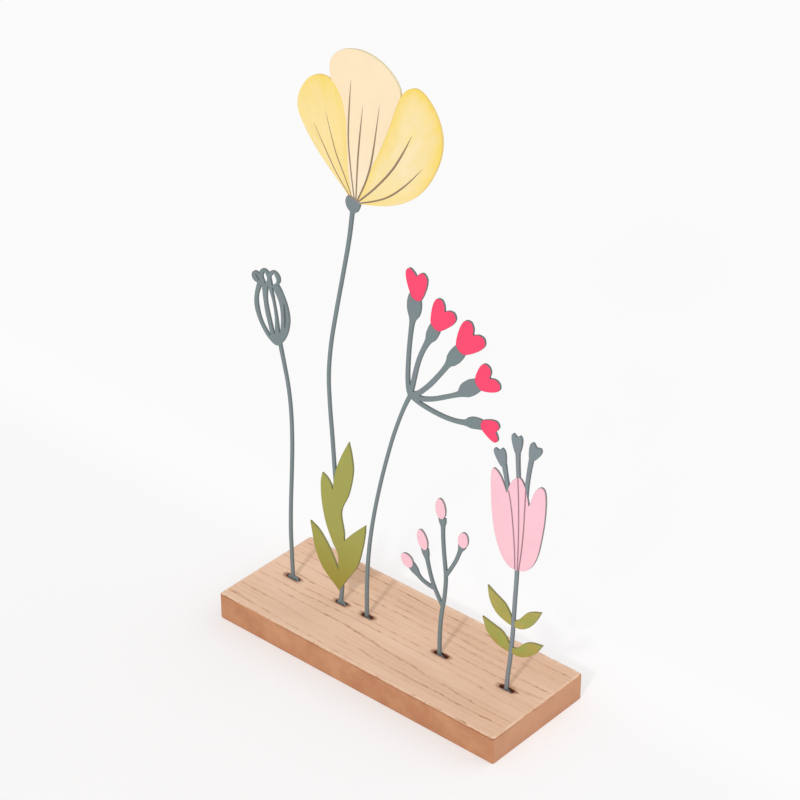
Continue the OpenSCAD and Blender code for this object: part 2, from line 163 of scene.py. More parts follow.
@dataclass(frozen=True)
class Outline:
    """Straight edges round a flat region, each with the region on its left.

    Attributes:
        starts: First point of every edge, shape (edges, 2).
        ends: Last point of every edge, shape (edges, 2).
    """

    starts: Array
    ends: Array

    # Smallest turn between two edges that counts as a sharp corner
    SHARP = math.radians(30)

    # Distance at which a point is on an edge
    TOUCHING = 0.0001 * MM

    # Least length of two outward vectors' sum, so that insets at needle tips stay short
    NEEDLE = 0.9

    def normals(self) -> Array:
        """Turns each edge a quarter turn clockwise.

        Returns:
            Unit vectors out of the region, one for each edge.
        """
        run = self.ends - self.starts
        turned = np.stack([run[:, 1], -run[:, 0]], axis=1)
        return turned / np.linalg.norm(turned, axis=1, keepdims=True)

    def part(self, chosen: Array) -> "Outline":
        """The chosen edges as an outline of their own."""
        return Outline(self.starts[chosen], self.ends[chosen])

    def with_edges(self, other: "Outline") -> "Outline":
        """Both outlines' edges together."""
        return Outline(np.vstack([self.starts, other.starts]), np.vstack([self.ends, other.ends]))

    def holds(self, points: Array) -> Array:
        """Says which points lie in the region: those with an odd number of edges to their right.

        Args:
            points: Points, shape (points, 2).

        Returns:
            One truth value per point.
        """
        height = points[:, 1, None]
        low, high = self.starts[:, 1], self.ends[:, 1]
        crosses = (low <= height) != (high <= height)
        climb = np.where(high == low, 1.0, high - low)
        across = self.starts[:, 0] + (height - low) / climb * (self.ends[:, 0] - self.starts[:, 0])
        return (crosses & (across > points[:, 0, None])).sum(axis=1) % 2 == 1

    def covers(self, us: Array, vs: Array) -> Array:
        """The same test for a whole grid of points: crossings are counted row by row and summed along it.

        Args:
            us: Rising first coordinates of the grid.
            vs: Second coordinates of the grid.

        Returns:
            Truth values, shape (us, vs).
        """
        low, high = self.starts[:, 1, None], self.ends[:, 1, None]
        edge, row = np.nonzero((low <= vs) != (high <= vs))
        share = (vs[row] - low[edge, 0]) / (high - low)[edge, 0]
        across = self.starts[edge, 0] + share * (self.ends[edge, 0] - self.starts[edge, 0])
        count = np.zeros((len(us) + 1, len(vs)), int)
        np.add.at(count, (np.searchsorted(us, across), row), 1)
        return count[::-1].cumsum(axis=0)[::-1][1:] % 2 == 1

    def nearest(self, points: Array, batch: int = 1024) -> tuple[Array, Array, Array]:
        """Finds the closest point of the outline to each given point.

        Each point is dropped squarely on every edge, held between the edge's ends, and the shortest drop
        wins.

        Args:
            points: Points, shape (points, 2).
            batch: How many points are worked out at a time.

        Returns:
            The closest points, the outward unit vectors there, and the distances.
        """
        run = self.ends - self.starts
        span = (run**2).sum(axis=1)
        normals = self.normals()
        found, outward, away = [], [], []
        for part in np.array_split(points, max(1, len(points) // batch)):
            offset = part[:, None] - self.starts
            share = np.clip((offset * run).sum(axis=2) / span, 0, 1)
            gap = offset - share[..., None] * run
            pick = (gap**2).sum(axis=2).argmin(axis=1)
            near = gap[np.arange(len(part)), pick]
            reach = np.linalg.norm(near, axis=1)
            side = np.sign((near * normals[pick]).sum(axis=1))
            turned = near * (side / np.maximum(reach, self.TOUCHING))[:, None]
            on_edge = (reach < self.TOUCHING) | (side == 0)
            found.append(part - near)
            outward.append(np.where(on_edge[:, None], normals[pick], turned))
            away.append(reach)
        return np.vstack(found), np.vstack(outward), np.concatenate(away)

    def sharp(self) -> tuple[Array, Array]:
        """Finds the edges that meet at the sharp corners that stick out.

        The edge after another starts where that one ends. Their corner sticks out where the outward vector
        turns counterclockwise from one to the next, and it is sharp where it turns far enough.

        Returns:
            Numbers of the edges before the corners, and of those after them.
        """
        ends, starts = whole(self.ends), whole(self.starts)
        _, number = np.unique(np.vstack([ends, starts]), axis=0, return_inverse=True)
        number = number.ravel()
        follower = np.full(number.max() + 1, -1)
        follower[number[len(ends):]] = np.arange(len(starts))
        after = follower[number[: len(ends)]]
        normals = self.normals()
        turn = normals[:, 0] * normals[after, 1] - normals[:, 1] * normals[after, 0]
        cosine = np.clip((normals * normals[after]).sum(axis=1), -1, 1)
        before = np.nonzero((after >= 0) & (turn > 0) & (np.arccos(cosine) > self.SHARP))[0]
        return before, after[before]

    def corners(self) -> tuple[Array, Array, Array]:
        """Finds the sharp corners that stick out.

        Returns:
            The corner points, the unit vectors out of them, and how much further than along a straight
            edge an inset has to go there.
        """
        before, after = self.sharp()
        normals = self.normals()
        middle = normals[before] + normals[after]
        length = np.linalg.norm(middle, axis=1, keepdims=True)
        outward = middle / np.maximum(length, self.TOUCHING)
        return self.ends[before], outward, 2 / np.maximum(length[:, 0], self.NEEDLE)

    def rounded(self, radius: float, steps: int = 6) -> "Outline":
        """Turns the sharp corners that stick out into arcs.

        An arc runs round the point that lies the radius inside both edges, from one edge's outward vector
        to the other's. Both edges end where it touches them.

        Args:
            radius: Radius of the arcs.
            steps: Straight pieces in each arc.

        Returns:
            The outline, with every edge once.
        """
        both = whole(np.hstack([self.starts, self.ends]))
        plain = self.part(np.unique(both, axis=0, return_index=True)[1])
        before, after = plain.sharp()
        first, last = plain.normals()[before], plain.normals()[after]
        cosine = (first * last).sum(axis=1, keepdims=True)
        centre = plain.ends[before] - radius * (first + last) / (1 + cosine)
        turn = np.arctan2(first[:, 1:], first[:, :1]) + np.arccos(cosine) * np.linspace(0, 1, steps + 1)
        arc = centre[:, None] + radius * np.stack([np.cos(turn), np.sin(turn)], axis=-1)
        starts, ends = plain.starts.copy(), plain.ends.copy()
        ends[before], starts[after] = arc[:, 0], arc[:, -1]
        arcs = Outline(arc[:, :-1].reshape(-1, 2), arc[:, 1:].reshape(-1, 2))
        return Outline(starts, ends).with_edges(arcs)


class FlatSolid:
    """Front and back regions of a flat node, read from the frame.

    Attributes:
        front: Outline of the face at depth 0.
        back: Outline of the face at the full thickness.
        outer: Edges of both outlines that have nothing beyond them.
        thickness: Depth of the back face.
        lap: Depth of the steps between the two faces.
        proud: How far the walls stand outside the front outline.
    """

    def __init__(self, node: str, plane: Plane) -> None:
        """Reads the node.

        Args:
            node: Name of the node in the frame.
            plane: How the node lies.
        """
        axes, depth_axis, sign = plane.value
        triangles = self._triangles(node)
        self.flat = triangles[:, :, axes]
        raw = sign * triangles[:, :, depth_axis]
        self.face_level = raw.min()
        depth = raw - self.face_level
        self.thickness = depth.max()
        side_a = self.flat[:, 1] - self.flat[:, 0]
        side_b = self.flat[:, 2] - self.flat[:, 0]
        area = side_a[:, 0] * side_b[:, 1] - side_a[:, 1] * side_b[:, 0]
        level = np.where(np.ptp(depth, axis=1) < FLAT, depth.mean(axis=1), np.nan)
        at_front = level < FLAT
        at_back = level > self.thickness - FLAT
        between = (level > 2 * FLAT) & (level < self.thickness - 2 * FLAT)
        self.front = self._outline(self.flat[at_front & (area > 0)])
        self.back = self._outline(self.flat[at_back & (area < 0)][:, ::-1])
        self.lap = level[between].mean() if between.any() else self.thickness / 2
        beyond_front = self._outside(self.front, self.back)
        beyond_back = self._outside(self.back, self.front)
        self.outer = self.front.part(beyond_front).with_edges(self.back.part(beyond_back))
        self.front_steps = self.front.part(~beyond_front)
        self.back_steps = self.back.part(~beyond_back)
        self.proud = self.flat[..., 0].max() - self.outer.starts[:, 0].max()

    @staticmethod
    def _triangles(node: str) -> Array:
        """Reads the triangles of a node.

        Args:
            node: Name of the node.

        Returns:
            Corner points, shape (triangles, 3 corners, 3 axes).
        """
        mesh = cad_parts[node].data
        mesh.calc_loop_triangles()
        corners = np.empty(3 * len(mesh.loop_triangles), np.int32)
        mesh.loop_triangles.foreach_get("vertices", corners)
        return places(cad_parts[node])[corners].reshape(-1, 3, 3)

    @staticmethod
    def _outline(triangles: Array) -> Outline:
        """Finds the edges that flat triangles run along more often one way than the other.

        Args:
            triangles: Corner points, shape (triangles, 3 corners, 2 axes).

        Returns:
            Those edges, in that direction.
        """
        _, number = np.unique(whole(triangles.reshape(-1, 2)), axis=0, return_inverse=True)
        number = number.reshape(-1, 3)
        edges = np.stack([number.ravel(), np.roll(number, -1, axis=1).ravel()], axis=1)
        _, where = np.unique(np.sort(edges, axis=1), axis=0, return_inverse=True)
        way = np.sign(edges[:, 1] - edges[:, 0])
        net = np.bincount(where.ravel(), way)[where.ravel()]
        once = np.unique(edges, axis=0, return_index=True)[1]
        kept = once[(net * way)[once] > 0]
        firsts = triangles.reshape(-1, 2)
        lasts = np.roll(triangles, -1, axis=1).reshape(-1, 2)
        return Outline(firsts[kept], lasts[kept])

    @staticmethod
    def _outside(outline: Outline, other: Outline) -> Array:
        """Says which edges of an outline have no part of the other region just beyond them."""
        beyond = (outline.starts + outline.ends) / 2 + outline.normals() * 2 * FLAT
        return ~other.holds(beyond)


# Flat pieces


def put_mesh(name: str, points: Array, faces: list[Array], zones: list[int]) -> bpy.types.Object:
    """Makes an object from whole arrays.

    Args:
        name: Name of the object and its mesh.
        points: Vertex positions, shape (vertices, 3).
        faces: Arrays of vertex numbers, one array for each number of corners.
        zones: Material number of each of those arrays.

    Returns:
        The object, linked into the scene, with smooth faces and sharp edges kept.
    """
    mesh = bpy.data.meshes.new(name)
    corners = np.concatenate([part.ravel() for part in faces])
    sizes = np.concatenate([np.full(len(part), part.shape[1]) for part in faces])
    material = np.concatenate([np.full(len(part), zone) for part, zone in zip(faces, zones)])
    mesh.vertices.add(len(points))
    mesh.loops.add(len(corners))
    mesh.polygons.add(len(sizes))
    mesh.vertices.foreach_set("co", points.astype(np.float32).ravel())
    mesh.loops.foreach_set("vertex_index", corners.astype(np.int32))
    mesh.polygons.foreach_set("loop_start", (np.cumsum(sizes) - sizes).astype(np.int32))
    mesh.polygons.foreach_set("material_index", material.astype(np.int32))
    mesh.polygons.foreach_set("use_smooth", np.ones(len(sizes), bool))
    mesh.update(calc_edges=True)
    mesh.set_sharp_from_angle(angle=CREASE)
    made = bpy.data.objects.new(name, mesh)
    bpy.context.scene.collection.objects.link(made)
    return made


def put_values(made: bpy.types.Object, name: str, values: Array) -> None:
    """Stores one number per vertex under a name that a material reads."""
    layer = made.data.attributes.new(name, "FLOAT", "POINT")
    layer.data.foreach_set("value", values.astype(np.float32))


def cell_sides(inside: Array, outside: Array) -> tuple[Array, Array, Array]:
    """Lists the cell sides where one kind of cell meets another.

    A grid corner's number is its column times the corners in a column, plus its row.

    Args:
        inside: Truth values of the cells that the sides belong to, none of them on the grid's border.
        outside: Truth values of the cells across from them.

    Returns:
        Start corners, end corners and flat numbers of the inside cells. The inside lies on the left.
    """
    rows = inside.shape[1]
    turns = (
        ((0, -1), (0, 0), (1, 0)),
        ((1, 0), (1, 0), (1, 1)),
        ((0, 1), (1, 1), (0, 1)),
        ((-1, 0), (0, 1), (0, 0)),
    )
    starts, ends, cells = [], [], []
    for step, first, last in turns:
        across = np.roll(outside, (-step[0], -step[1]), axis=(0, 1))
        column, row = np.nonzero(inside & across)
        starts.append((column + first[0]) * (rows + 1) + row + first[1])
        ends.append((column + last[0]) * (rows + 1) + row + last[1])
        cells.append(column * rows + row)
    return np.concatenate(starts), np.concatenate(ends), np.concatenate(cells)


def without_pinches(cells: Array) -> Array:
    """Fills one cell wherever two cells touch at a corner only, until none do.

    Args:
        cells: Truth values of the cells.

    Returns:
        Truth values with those cells added.
    """
    filled = cells.copy()
    pinched = True
    while pinched:
        a, b = filled[:-1, :-1], filled[1:, 1:]
        c, d = filled[1:, :-1], filled[:-1, 1:]
        rising = a & b & ~c & ~d
        falling = c & d & ~a & ~b
        filled[1:, :-1] |= rising
        filled[:-1, :-1] |= falling
        pinched = rising.any() or falling.any()
    return filled


@dataclass
class FlatPiece:
    """A flat node made again as small cells with a rounded rim.

    Attributes:
        node: Node that the piece stands for.
        plane: How the piece lies.
        pitch: Side of a cell.
        rim: Radius of the rounded rim.
        bite: Depth of the nicks in the front edge.
        corner: Radius of the outline's corners, or 0 where they stay sharp.
    """

    node: str
    plane: Plane = Plane.UPRIGHT
    pitch: float = 0.3 * MM
    rim: float = 0.14 * MM
    bite: float = 0.0
    corner: float = 0.0

    # Empty cells along each side of the grid
    BORDER = 2

    # Least distance of inner corners from the outline, in rim radii
    INNER = 1.4

    # Share of its radius that the rim, a quarter circle, is short of the wall and the face at 45 degrees
    ARC = 1 - math.sqrt(0.5)

    # Waves of the nicks: turns per millimetre, start and height
    WAVES = ((0.61, 1, 1), (1.47, 4, 1), (3.9, 2, 0.8))

    # How far the waves slant across the board, the level that they have to pass to bite, and the share of
    # a bite's depth just below the edge
    SLANT = 1.7
    NICK_LEVEL = 0.6
    NICK_BELOW = 0.6

    FRONT_CHAIN = (Row.FRONT, Row.FRONT_ARC, Row.FRONT_WALL, Row.LAP_WALL)
    BACK_CHAIN = (Row.LAP_WALL, Row.BACK_WALL, Row.BACK_ARC, Row.BACK)

    def build(self) -> bpy.types.Object:
        """Works out the cells, the rim and the steps, and makes one closed surface of them.

        Returns:
            The finished object, with the values "edge" on its walls and "rim", the distance to the nearest
            edge, on its faces.
        """
        solid = FlatSolid(self.node, self.plane)
        if self.corner:
            solid.outer = solid.outer.rounded(self.corner - solid.proud)
        us, vs = self._lines(solid.flat)
        middle_u, middle_v = (us[1:] + us[:-1]) / 2, (vs[1:] + vs[:-1]) / 2
        at_front = solid.front.covers(middle_u, middle_v)
        at_back = solid.back.covers(middle_u, middle_v)
        kept = without_pinches(at_front | at_back)
        added = kept & ~(at_front | at_back)
        at_front = without_pinches(at_front | added) & kept
        at_back = without_pinches(at_back | added) & kept

        corners = len(us) * len(vs)
        start, end, cell = cell_sides(kept, ~kept)
        front_start, front_end, _ = cell_sides(at_front, kept & ~at_front)
        back_start, back_end, _ = cell_sides(at_back, kept & ~at_back)
        faces, zones = self._caps(kept, at_front, at_back, corners)
        on_front, on_back = at_front.ravel()[cell], at_back.ravel()[cell]
        strips = (
            (self.FRONT_CHAIN, start[on_front], end[on_front], Zone.RIM),
            ((Row.FRONT_LAP, Row.LAP_WALL), start[~on_front], end[~on_front], Zone.STEP),
            (self.BACK_CHAIN, start[on_back], end[on_back], Zone.RIM),
            ((Row.LAP_WALL, Row.BACK_LAP), start[~on_back], end[~on_back], Zone.STEP),
            ((Row.FRONT, Row.FRONT_LAP), front_start, front_end, Zone.STEP),
            ((Row.BACK_LAP, Row.BACK), back_start, back_end, Zone.STEP),
        )
        for chain, first, last, zone in strips:
            for upper, lower in zip(chain, chain[1:]):
                quad = [upper * corners + first, lower * corners + first,
                        lower * corners + last, upper * corners + last]
                faces.append(np.stack(quad, axis=1))
                zones.append(zone)
        laps = ((self.FRONT_CHAIN, Row.FRONT_LAP, on_front), (self.BACK_CHAIN, Row.BACK_LAP, on_back))
        for chain, lap, kind in laps:
            faces += self._step_ends((*chain, lap), start, end, kind, corners)
            zones += [Zone.STEP, Zone.STEP]

        grid = np.stack(np.meshgrid(us, vs, indexing="ij"), axis=-1).reshape(-1, 2)
        rows, rim_distance = self._places(solid, grid, np.unique(start), np.unique(front_start),
                                          np.unique(back_start), kept)
        return self._finish(solid, rows, rim_distance, faces, zones)

    def _lines(self, flat: Array) -> tuple[Array, Array]:
        """Lays grid lines over the piece, one pitch apart, with a border of empty cells.

        Args:
            flat: Corner points of the node's triangles, shape (triangles, 3 corners, 2 axes).

        Returns:
            Rising first coordinates and rising second coordinates of the lines.
        """
        low, high = flat.reshape(-1, 2).min(axis=0), flat.reshape(-1, 2).max(axis=0)
        count = np.ceil((high - low) / self.pitch).astype(int) + 2 * self.BORDER
        first = (low + high - count * self.pitch) / 2
        return tuple(first[i] + np.arange(count[i] + 1) * self.pitch for i in (0, 1))

    @staticmethod
    def _caps(kept: Array, at_front: Array, at_back: Array, corners: int) -> tuple[list[Array], list[int]]:
        """Makes the faces of the cells, on layers of their own where the piece is cut to half.

        Args:
            kept: Truth values of the piece's cells.
            at_front: Truth values of the cells that reach the front.
            at_back: Truth values of the cells that reach the back.
            corners: Number of the grid's corners.

        Returns:
            Arrays of vertex numbers, and the zone of each array.
        """
        column, row = np.nonzero(kept)
        rows = kept.shape[1] + 1
        first = column * rows + row
        quad = np.stack([first, first + rows, first + rows + 1, first + 1], axis=1)
        on_front, on_back = at_front[kept], at_back[kept]
        faces = [
            quad[on_front] + Row.FRONT * corners,
            quad[~on_front] + Row.FRONT_LAP * corners,
            quad[on_back][:, ::-1] + Row.BACK * corners,
            quad[~on_back][:, ::-1] + Row.BACK_LAP * corners,
        ]
        return faces, [Zone.FACE, Zone.STEP, Zone.FACE, Zone.STEP]

    @staticmethod
    def _step_ends(ring: tuple[Row, ...], start: Array, end: Array, kind: Array,
                   corners: int) -> list[Array]:
        """Makes the faces that close a step where it runs out through the rim.

        Args:
            ring: Rows round such a face.
            start: Start corners of the cell sides round the piece.
            end: End corners of those sides.
            kind: Truth values of the sides whose cells aren't cut to half here.
            corners: Number of the grid's corners.

        Returns:
            Arrays of vertex numbers, one for each direction.
        """
        arrives, leaves = np.full(corners, -1), np.full(corners, -1)
        arrives[end] = kind
        leaves[start] = kind
        downward = np.nonzero((arrives == 1) & (leaves == 0))[0]
        upward = np.nonzero((arrives == 0) & (leaves == 1))[0]
        ring = np.array(ring) * corners
        return [downward[:, None] + ring, upward[:, None] + ring[::-1]]

    def _places(self, solid: FlatSolid, grid: Array, border: Array, front_step: Array, back_step: Array,
                kept: Array) -> tuple[dict[Row, Array], Array]:
        """Slides the grid's corners onto the outlines and works out every row's places.

        Border corners go to the nearest point of the outline, less the rim's radius, and sharp tips take
        the border corner that is closest to them. Inner corners that lie closer to the outline than that
        move in past the rim.

        Args:
            solid: Regions of the node.
            grid: Places of the grid's corners.
            border: Corners round the whole piece.
            front_step: Corners along the steps of the front.
            back_step: Corners along the steps of the back.
            kept: Truth values of the piece's cells.

        Returns:
            Places on the face of every row's corners, and each corner's distance to the edge.
        """
        padded = np.pad(kept, 1)
        used = (padded[:-1, :-1] | padded[1:, :-1] | padded[:-1, 1:] | padded[1:, 1:]).ravel()
        distance = np.zeros(len(grid))
        closest, outward, distance[used] = solid.outer.nearest(grid[used])
        front = grid.copy()
        least = self.INNER * self.rim
        front[used] = np.where(distance[used, None] < least, closest - least * outward, grid[used])
        back = front.copy()
        distance[border] = 0
        steps = ((front, front_step, solid.front_steps), (back, back_step, solid.back_steps))
        for layer, step, outline in steps:
            if len(step):
                layer[step] = outline.nearest(grid[step])[0]
        edge, outward, _ = solid.outer.nearest(grid[border])
        inset = np.full(len(border), self.rim)
        tips, tip_outward, miter = solid.outer.corners()
        if len(tips):
            at_tip = ((grid[border][:, None] - tips) ** 2).sum(axis=2).argmin(axis=0)
            edge[at_tip], outward[at_tip] = tips, tip_outward
            inset[at_tip] = self.rim * miter
        wall = edge + outward * solid.proud
        nick = self._nicks(edge)
        rows = {Row.FRONT: front, Row.FRONT_LAP: front, Row.BACK: back, Row.BACK_LAP: back}
        front[border] = wall - outward * (inset + nick)[:, None]
        back[border] = wall - outward * inset[:, None]
        rim_rows = (
            (Row.FRONT_ARC, self.ARC, nick),
            (Row.FRONT_WALL, 0, 0),
            (Row.LAP_WALL, 0, 0),
            (Row.BACK_WALL, 0, 0),
            (Row.BACK_ARC, self.ARC, 0),
        )
        for row, share, cut in rim_rows:
            rows[row] = grid.copy()
            rows[row][border] = wall - outward * (inset * share + cut * self.NICK_BELOW)[:, None]
        return rows, distance

    def _nicks(self, edge: Array) -> Array:
        """Works out small irregular bites along an edge: the peaks of three sine waves of its length.

        Args:
            edge: Places along the edge, shape (places, 2).

        Returns:
            Depth of the bite at every place.
        """
        along = (edge[:, 0] + self.SLANT * edge[:, 1]) / MM
        wave = sum(height * np.sin(along * turns + start) for turns, start, height in self.WAVES)
        most = sum(height for _, _, height in self.WAVES)
        return self.bite * np.clip(wave - self.NICK_LEVEL, 0, None) / (most - self.NICK_LEVEL)

    def _finish(self, solid: FlatSolid, rows: dict[Row, Array], rim_distance: Array, faces: list[Array],
                zones: list[int]) -> bpy.types.Object:
        """Gives every row its depth, drops the corners that no face uses and makes the object.

        Args:
            solid: Regions of the node.
            rows: Places on the face of every row's corners.
            rim_distance: Each corner's distance to the edge.
            faces: Arrays of vertex numbers, counted row after row.
            zones: Zone of each of those arrays.

        Returns:
            The object, with its stored values.
        """
        thick, lap = solid.thickness, solid.lap
        arc = self.rim * self.ARC
        depth = {
            Row.FRONT: 0,
            Row.FRONT_LAP: lap,
            Row.FRONT_ARC: arc,
            Row.FRONT_WALL: self.rim,
            Row.LAP_WALL: lap,
            Row.BACK_WALL: thick - self.rim,
            Row.BACK_ARC: thick - arc,
            Row.BACK_LAP: lap,
            Row.BACK: thick,
        }
        axes, depth_axis, sign = self.plane.value
        corners = len(rim_distance)
        points = np.empty((len(Row) * corners, 3))
        for row in Row:
            part = slice(row * corners, (row + 1) * corners)
            points[part, axes[0]] = rows[row][:, 0]
            points[part, axes[1]] = rows[row][:, 1]
            points[part, depth_axis] = sign * (depth[row] + solid.face_level)
        used = np.unique(np.concatenate([part.ravel() for part in faces]))
        faces = [np.searchsorted(used, part) for part in faces]
        made = put_mesh(f"{self.node}_made", points[used], faces, zones)
        row_of, corner_of = np.divmod(used, corners)
        walls = (Row.FRONT_ARC, Row.FRONT_WALL, Row.LAP_WALL, Row.BACK_WALL, Row.BACK_ARC)
        put_values(made, "edge", np.isin(row_of, walls))
        put_values(made, "rim", rim_distance[corner_of])
        return made


# Painted lines


@dataclass(frozen=True)
class PaintLine:
    """A brushed line of thick paint on the front of a plate.

    Attributes:
        points: Places on the front, across and up, in millimetres.
        root: Width at its first point.
        full: Greatest width.
        tip: Width at its last point.
        widest: Share of its length at which it is widest.
    """

    points: Points
    root: float
    full: float
    tip: float
    widest: float = 0.55

    # Places along a line and round it
    STEPS, AROUND = 48, 10

    # Share of its length over which an end closes, and the share of its width left there
    CLOSING, LEAST = 0.02, 0.02

    def widths(self, along: Array) -> Array:
        """Swells the width evenly from the root, and then brings it down to the tip by a parabola.

        Args:
            along: Shares of the line's length.

        Returns:
            Widths at those shares.
        """
        swell = np.interp(along, (0, self.widest), (self.root, self.full))
        past = np.clip((along - self.widest) / (1 - self.widest), 0, 1)
        return np.where(along < self.widest, swell, self.full - (self.full - self.tip) * past**2)

    def course(self, steps: int) -> Array:
        """Runs a smooth curve through the points, by the cubic that passes through each of them.

        Args:
            steps: Number of places along the curve.

        Returns:
            Places in metres, shape (steps, 2).
        """
        knots = np.array(self.points) * MM
        knots = np.vstack([2 * knots[0] - knots[1], knots, 2 * knots[-1] - knots[-2]])
        place = np.linspace(0, len(self.points) - 1, steps)
        first = np.minimum(place.astype(int), len(self.points) - 2)
        t = (place - first)[:, None]
        a, b, c, d = (knots[first + i] for i in range(4))
        bend = 2 * a - 5 * b + 4 * c - d
        twist = 3 * (b - c) + d - a
        return b + ((c - a) * t + bend * t**2 + twist * t**3) / 2


def paint_lines(name: str, lines: list[PaintLine], front: float, height: float) -> bpy.types.Object:
    """Carries a flat oval profile along each line.

    The profile follows the line's width and closes at both ends. It stands out in front of the plate by the
    height and sinks into it by as much.

    Args:
        name: Name of the object.
        lines: The painted lines.
        front: Place of the plate's front along Y.
        height: How far the paint stands out.

    Returns:
        One object with every line.
    """
    steps, around = PaintLine.STEPS, PaintLine.AROUND
    angle = np.arange(around) * 2 * math.pi / around
    along = np.linspace(0, 1, steps)
    points, faces, ends = [], [], []
    for number, line in enumerate(lines):
        course = line.course(steps)
        run = np.gradient(course, axis=0)
        run /= np.linalg.norm(run, axis=1, keepdims=True)
        side = np.stack([-run[:, 1], run[:, 0]], axis=1)
        from_end = np.minimum(along, 1 - along) / PaintLine.CLOSING
        closing = np.sqrt(np.clip(from_end, PaintLine.LEAST, 1))
        half = line.widths(along) / 2 * closing
        across = course[:, None] + side[:, None] * (half[:, None] * np.cos(angle))[..., None]
        depth = front - height * np.sin(angle) * closing[:, None]
        ring = np.stack([across[..., 0], depth, across[..., 1]], axis=-1)
        first = number * steps * around
        grid = first + np.arange(steps * around).reshape(steps, around)
        turned = np.roll(grid, -1, axis=1)
        points.append(ring.reshape(-1, 3))
        faces.append(np.stack([grid[:-1], turned[:-1], turned[1:], grid[1:]], axis=-1).reshape(-1, 4))
        ends += [grid[0, ::-1], grid[-1]]
    parts = [np.vstack(faces), np.array(ends)]
    return put_mesh(name, np.vstack(points), parts, [Zone.FACE, Zone.FACE])


# Finishes


def reckoning(operation: str) -> Callable[..., "Value"]:
    """Makes a method that reckons with a value and another one.

    Args:
        operation: Name of the step in Blender's math node.

    Returns:
        The method.
    """

    def reckon(value: "Value", other: object = 0.0) -> "Value":
        """Adds one node, which takes both values."""
        return value.wiring.math(operation, value, other)

    return reckon


class Value:
    """A socket that can be reckoned with: every step adds a node to its tree."""

    def __init__(self, wiring: "Wiring", socket: bpy.types.NodeSocket) -> None:
        """Takes the socket and the calls that add nodes to its tree."""
        self.wiring = wiring
        self.socket = socket

    __add__ = reckoning("ADD")
    __sub__ = reckoning("SUBTRACT")
    __mul__ = reckoning("MULTIPLY")
    __truediv__ = reckoning("DIVIDE")
    __abs__ = reckoning("ABSOLUTE")
    at_least = reckoning("MAXIMUM")
    past_whole = reckoning("FRACT")

    def __rsub__(self, other: object) -> "Value":
        """The difference from a number."""
        return self.wiring.math("SUBTRACT", other, self)

    def band(self, low: object, high: object) -> "Value":
        """A smooth rise from 0 to 1 between two values."""
        values = {"Value": self, "From Min": low, "From Max": high}
        return self.wiring.out("ShaderNodeMapRange", "Result", values, interpolation_type="SMOOTHSTEP")


class Wiring:
    """Short calls that add nodes to one shader tree."""

    def __init__(self, tree: bpy.types.NodeTree) -> None:
        """Takes the tree that the nodes go into."""
        self.tree = tree

    def put(self, socket: bpy.types.NodeSocket, value: object) -> None:
        """Links a socket to a value of the tree, or sets it to a plain one.

        Args:
            socket: The socket.
            value: A value of the tree, or a number, vector or colour.
        """
        if isinstance(value, Value):
            self.tree.links.new(value.socket, socket)
        else:
            socket.default_value = value

    def add(self, kind: str, values: dict | None = None, **settings: object) -> bpy.types.Node:
        """Adds a node.

        Args:
            kind: Node type.
            values: Values for its inputs, by name or number.
            **settings: Properties of the node.

        Returns:
            The node.
        """
        node = self.tree.nodes.new(kind)
        for name, setting in settings.items():
            setattr(node, name, setting)
        for name, value in (values or {}).items():
            self.put(node.inputs[name], value)
        return node

    def out(self, kind: str, output: str | int, values: dict | None = None, **settings: object) -> Value:
        """Adds a node in the same way and gives one of its outputs."""
        return Value(self, self.add(kind, values, **settings).outputs[output])

    def place(self, stretch: Stretch = (1, 1, 1)) -> Value:
        """Object coordinates, stretched along each axis."""
        where = self.out("ShaderNodeTexCoord", "Object")
        return self.out("ShaderNodeMapping", "Vector", {"Vector": where, "Scale": stretch})

    def axis(self, name: str) -> Value:
        """One object coordinate: X, Y or Z."""
        return self.out("ShaderNodeSeparateXYZ", name, {0: self.place()})

    def noise_at(self, where: Value, scale: float, detail: float, rough: float) -> Value:
        """Cloudy values from 0 to 1 at a place."""
        values = {"Vector": where, "Scale": scale, "Detail": detail, "Roughness": rough}
        return self.out("ShaderNodeTexNoise", "Fac", values)

    def noise(self, scale: float | Stretch, detail: float = 2, rough: float = 0.5) -> Value:
        """Makes cloudy values from 0 to 1 over the object.

        Args:
            scale: Clouds per metre, one number for all axes or one for each.
            detail: Number of finer layers.
            rough: Strength of the finer layers.

        Returns:
            The values.
        """
        if isinstance(scale, tuple):
            return self.noise_at(self.place(scale), 1, detail, rough)
        return self.noise_at(self.place(), scale, detail, rough)

    def math(self, operation: str, a: object, b: object = 0.0) -> Value:
        """One step of reckoning with one or two values."""
        return self.out("ShaderNodeMath", 0, {0: a, 1: b}, operation=operation)

    def mix(self, share: object, a: object, b: object, blend: str = "MIX") -> Value:
        """A mix of two colours."""
        values = {0: share, 6: a, 7: b}
        return self.out("ShaderNodeMix", 2, values, data_type="RGBA", blend_type=blend)

    def stored(self, name: str) -> Value:
        """A value stored on the vertices."""
        return self.out("ShaderNodeAttribute", "Fac", attribute_name=name)


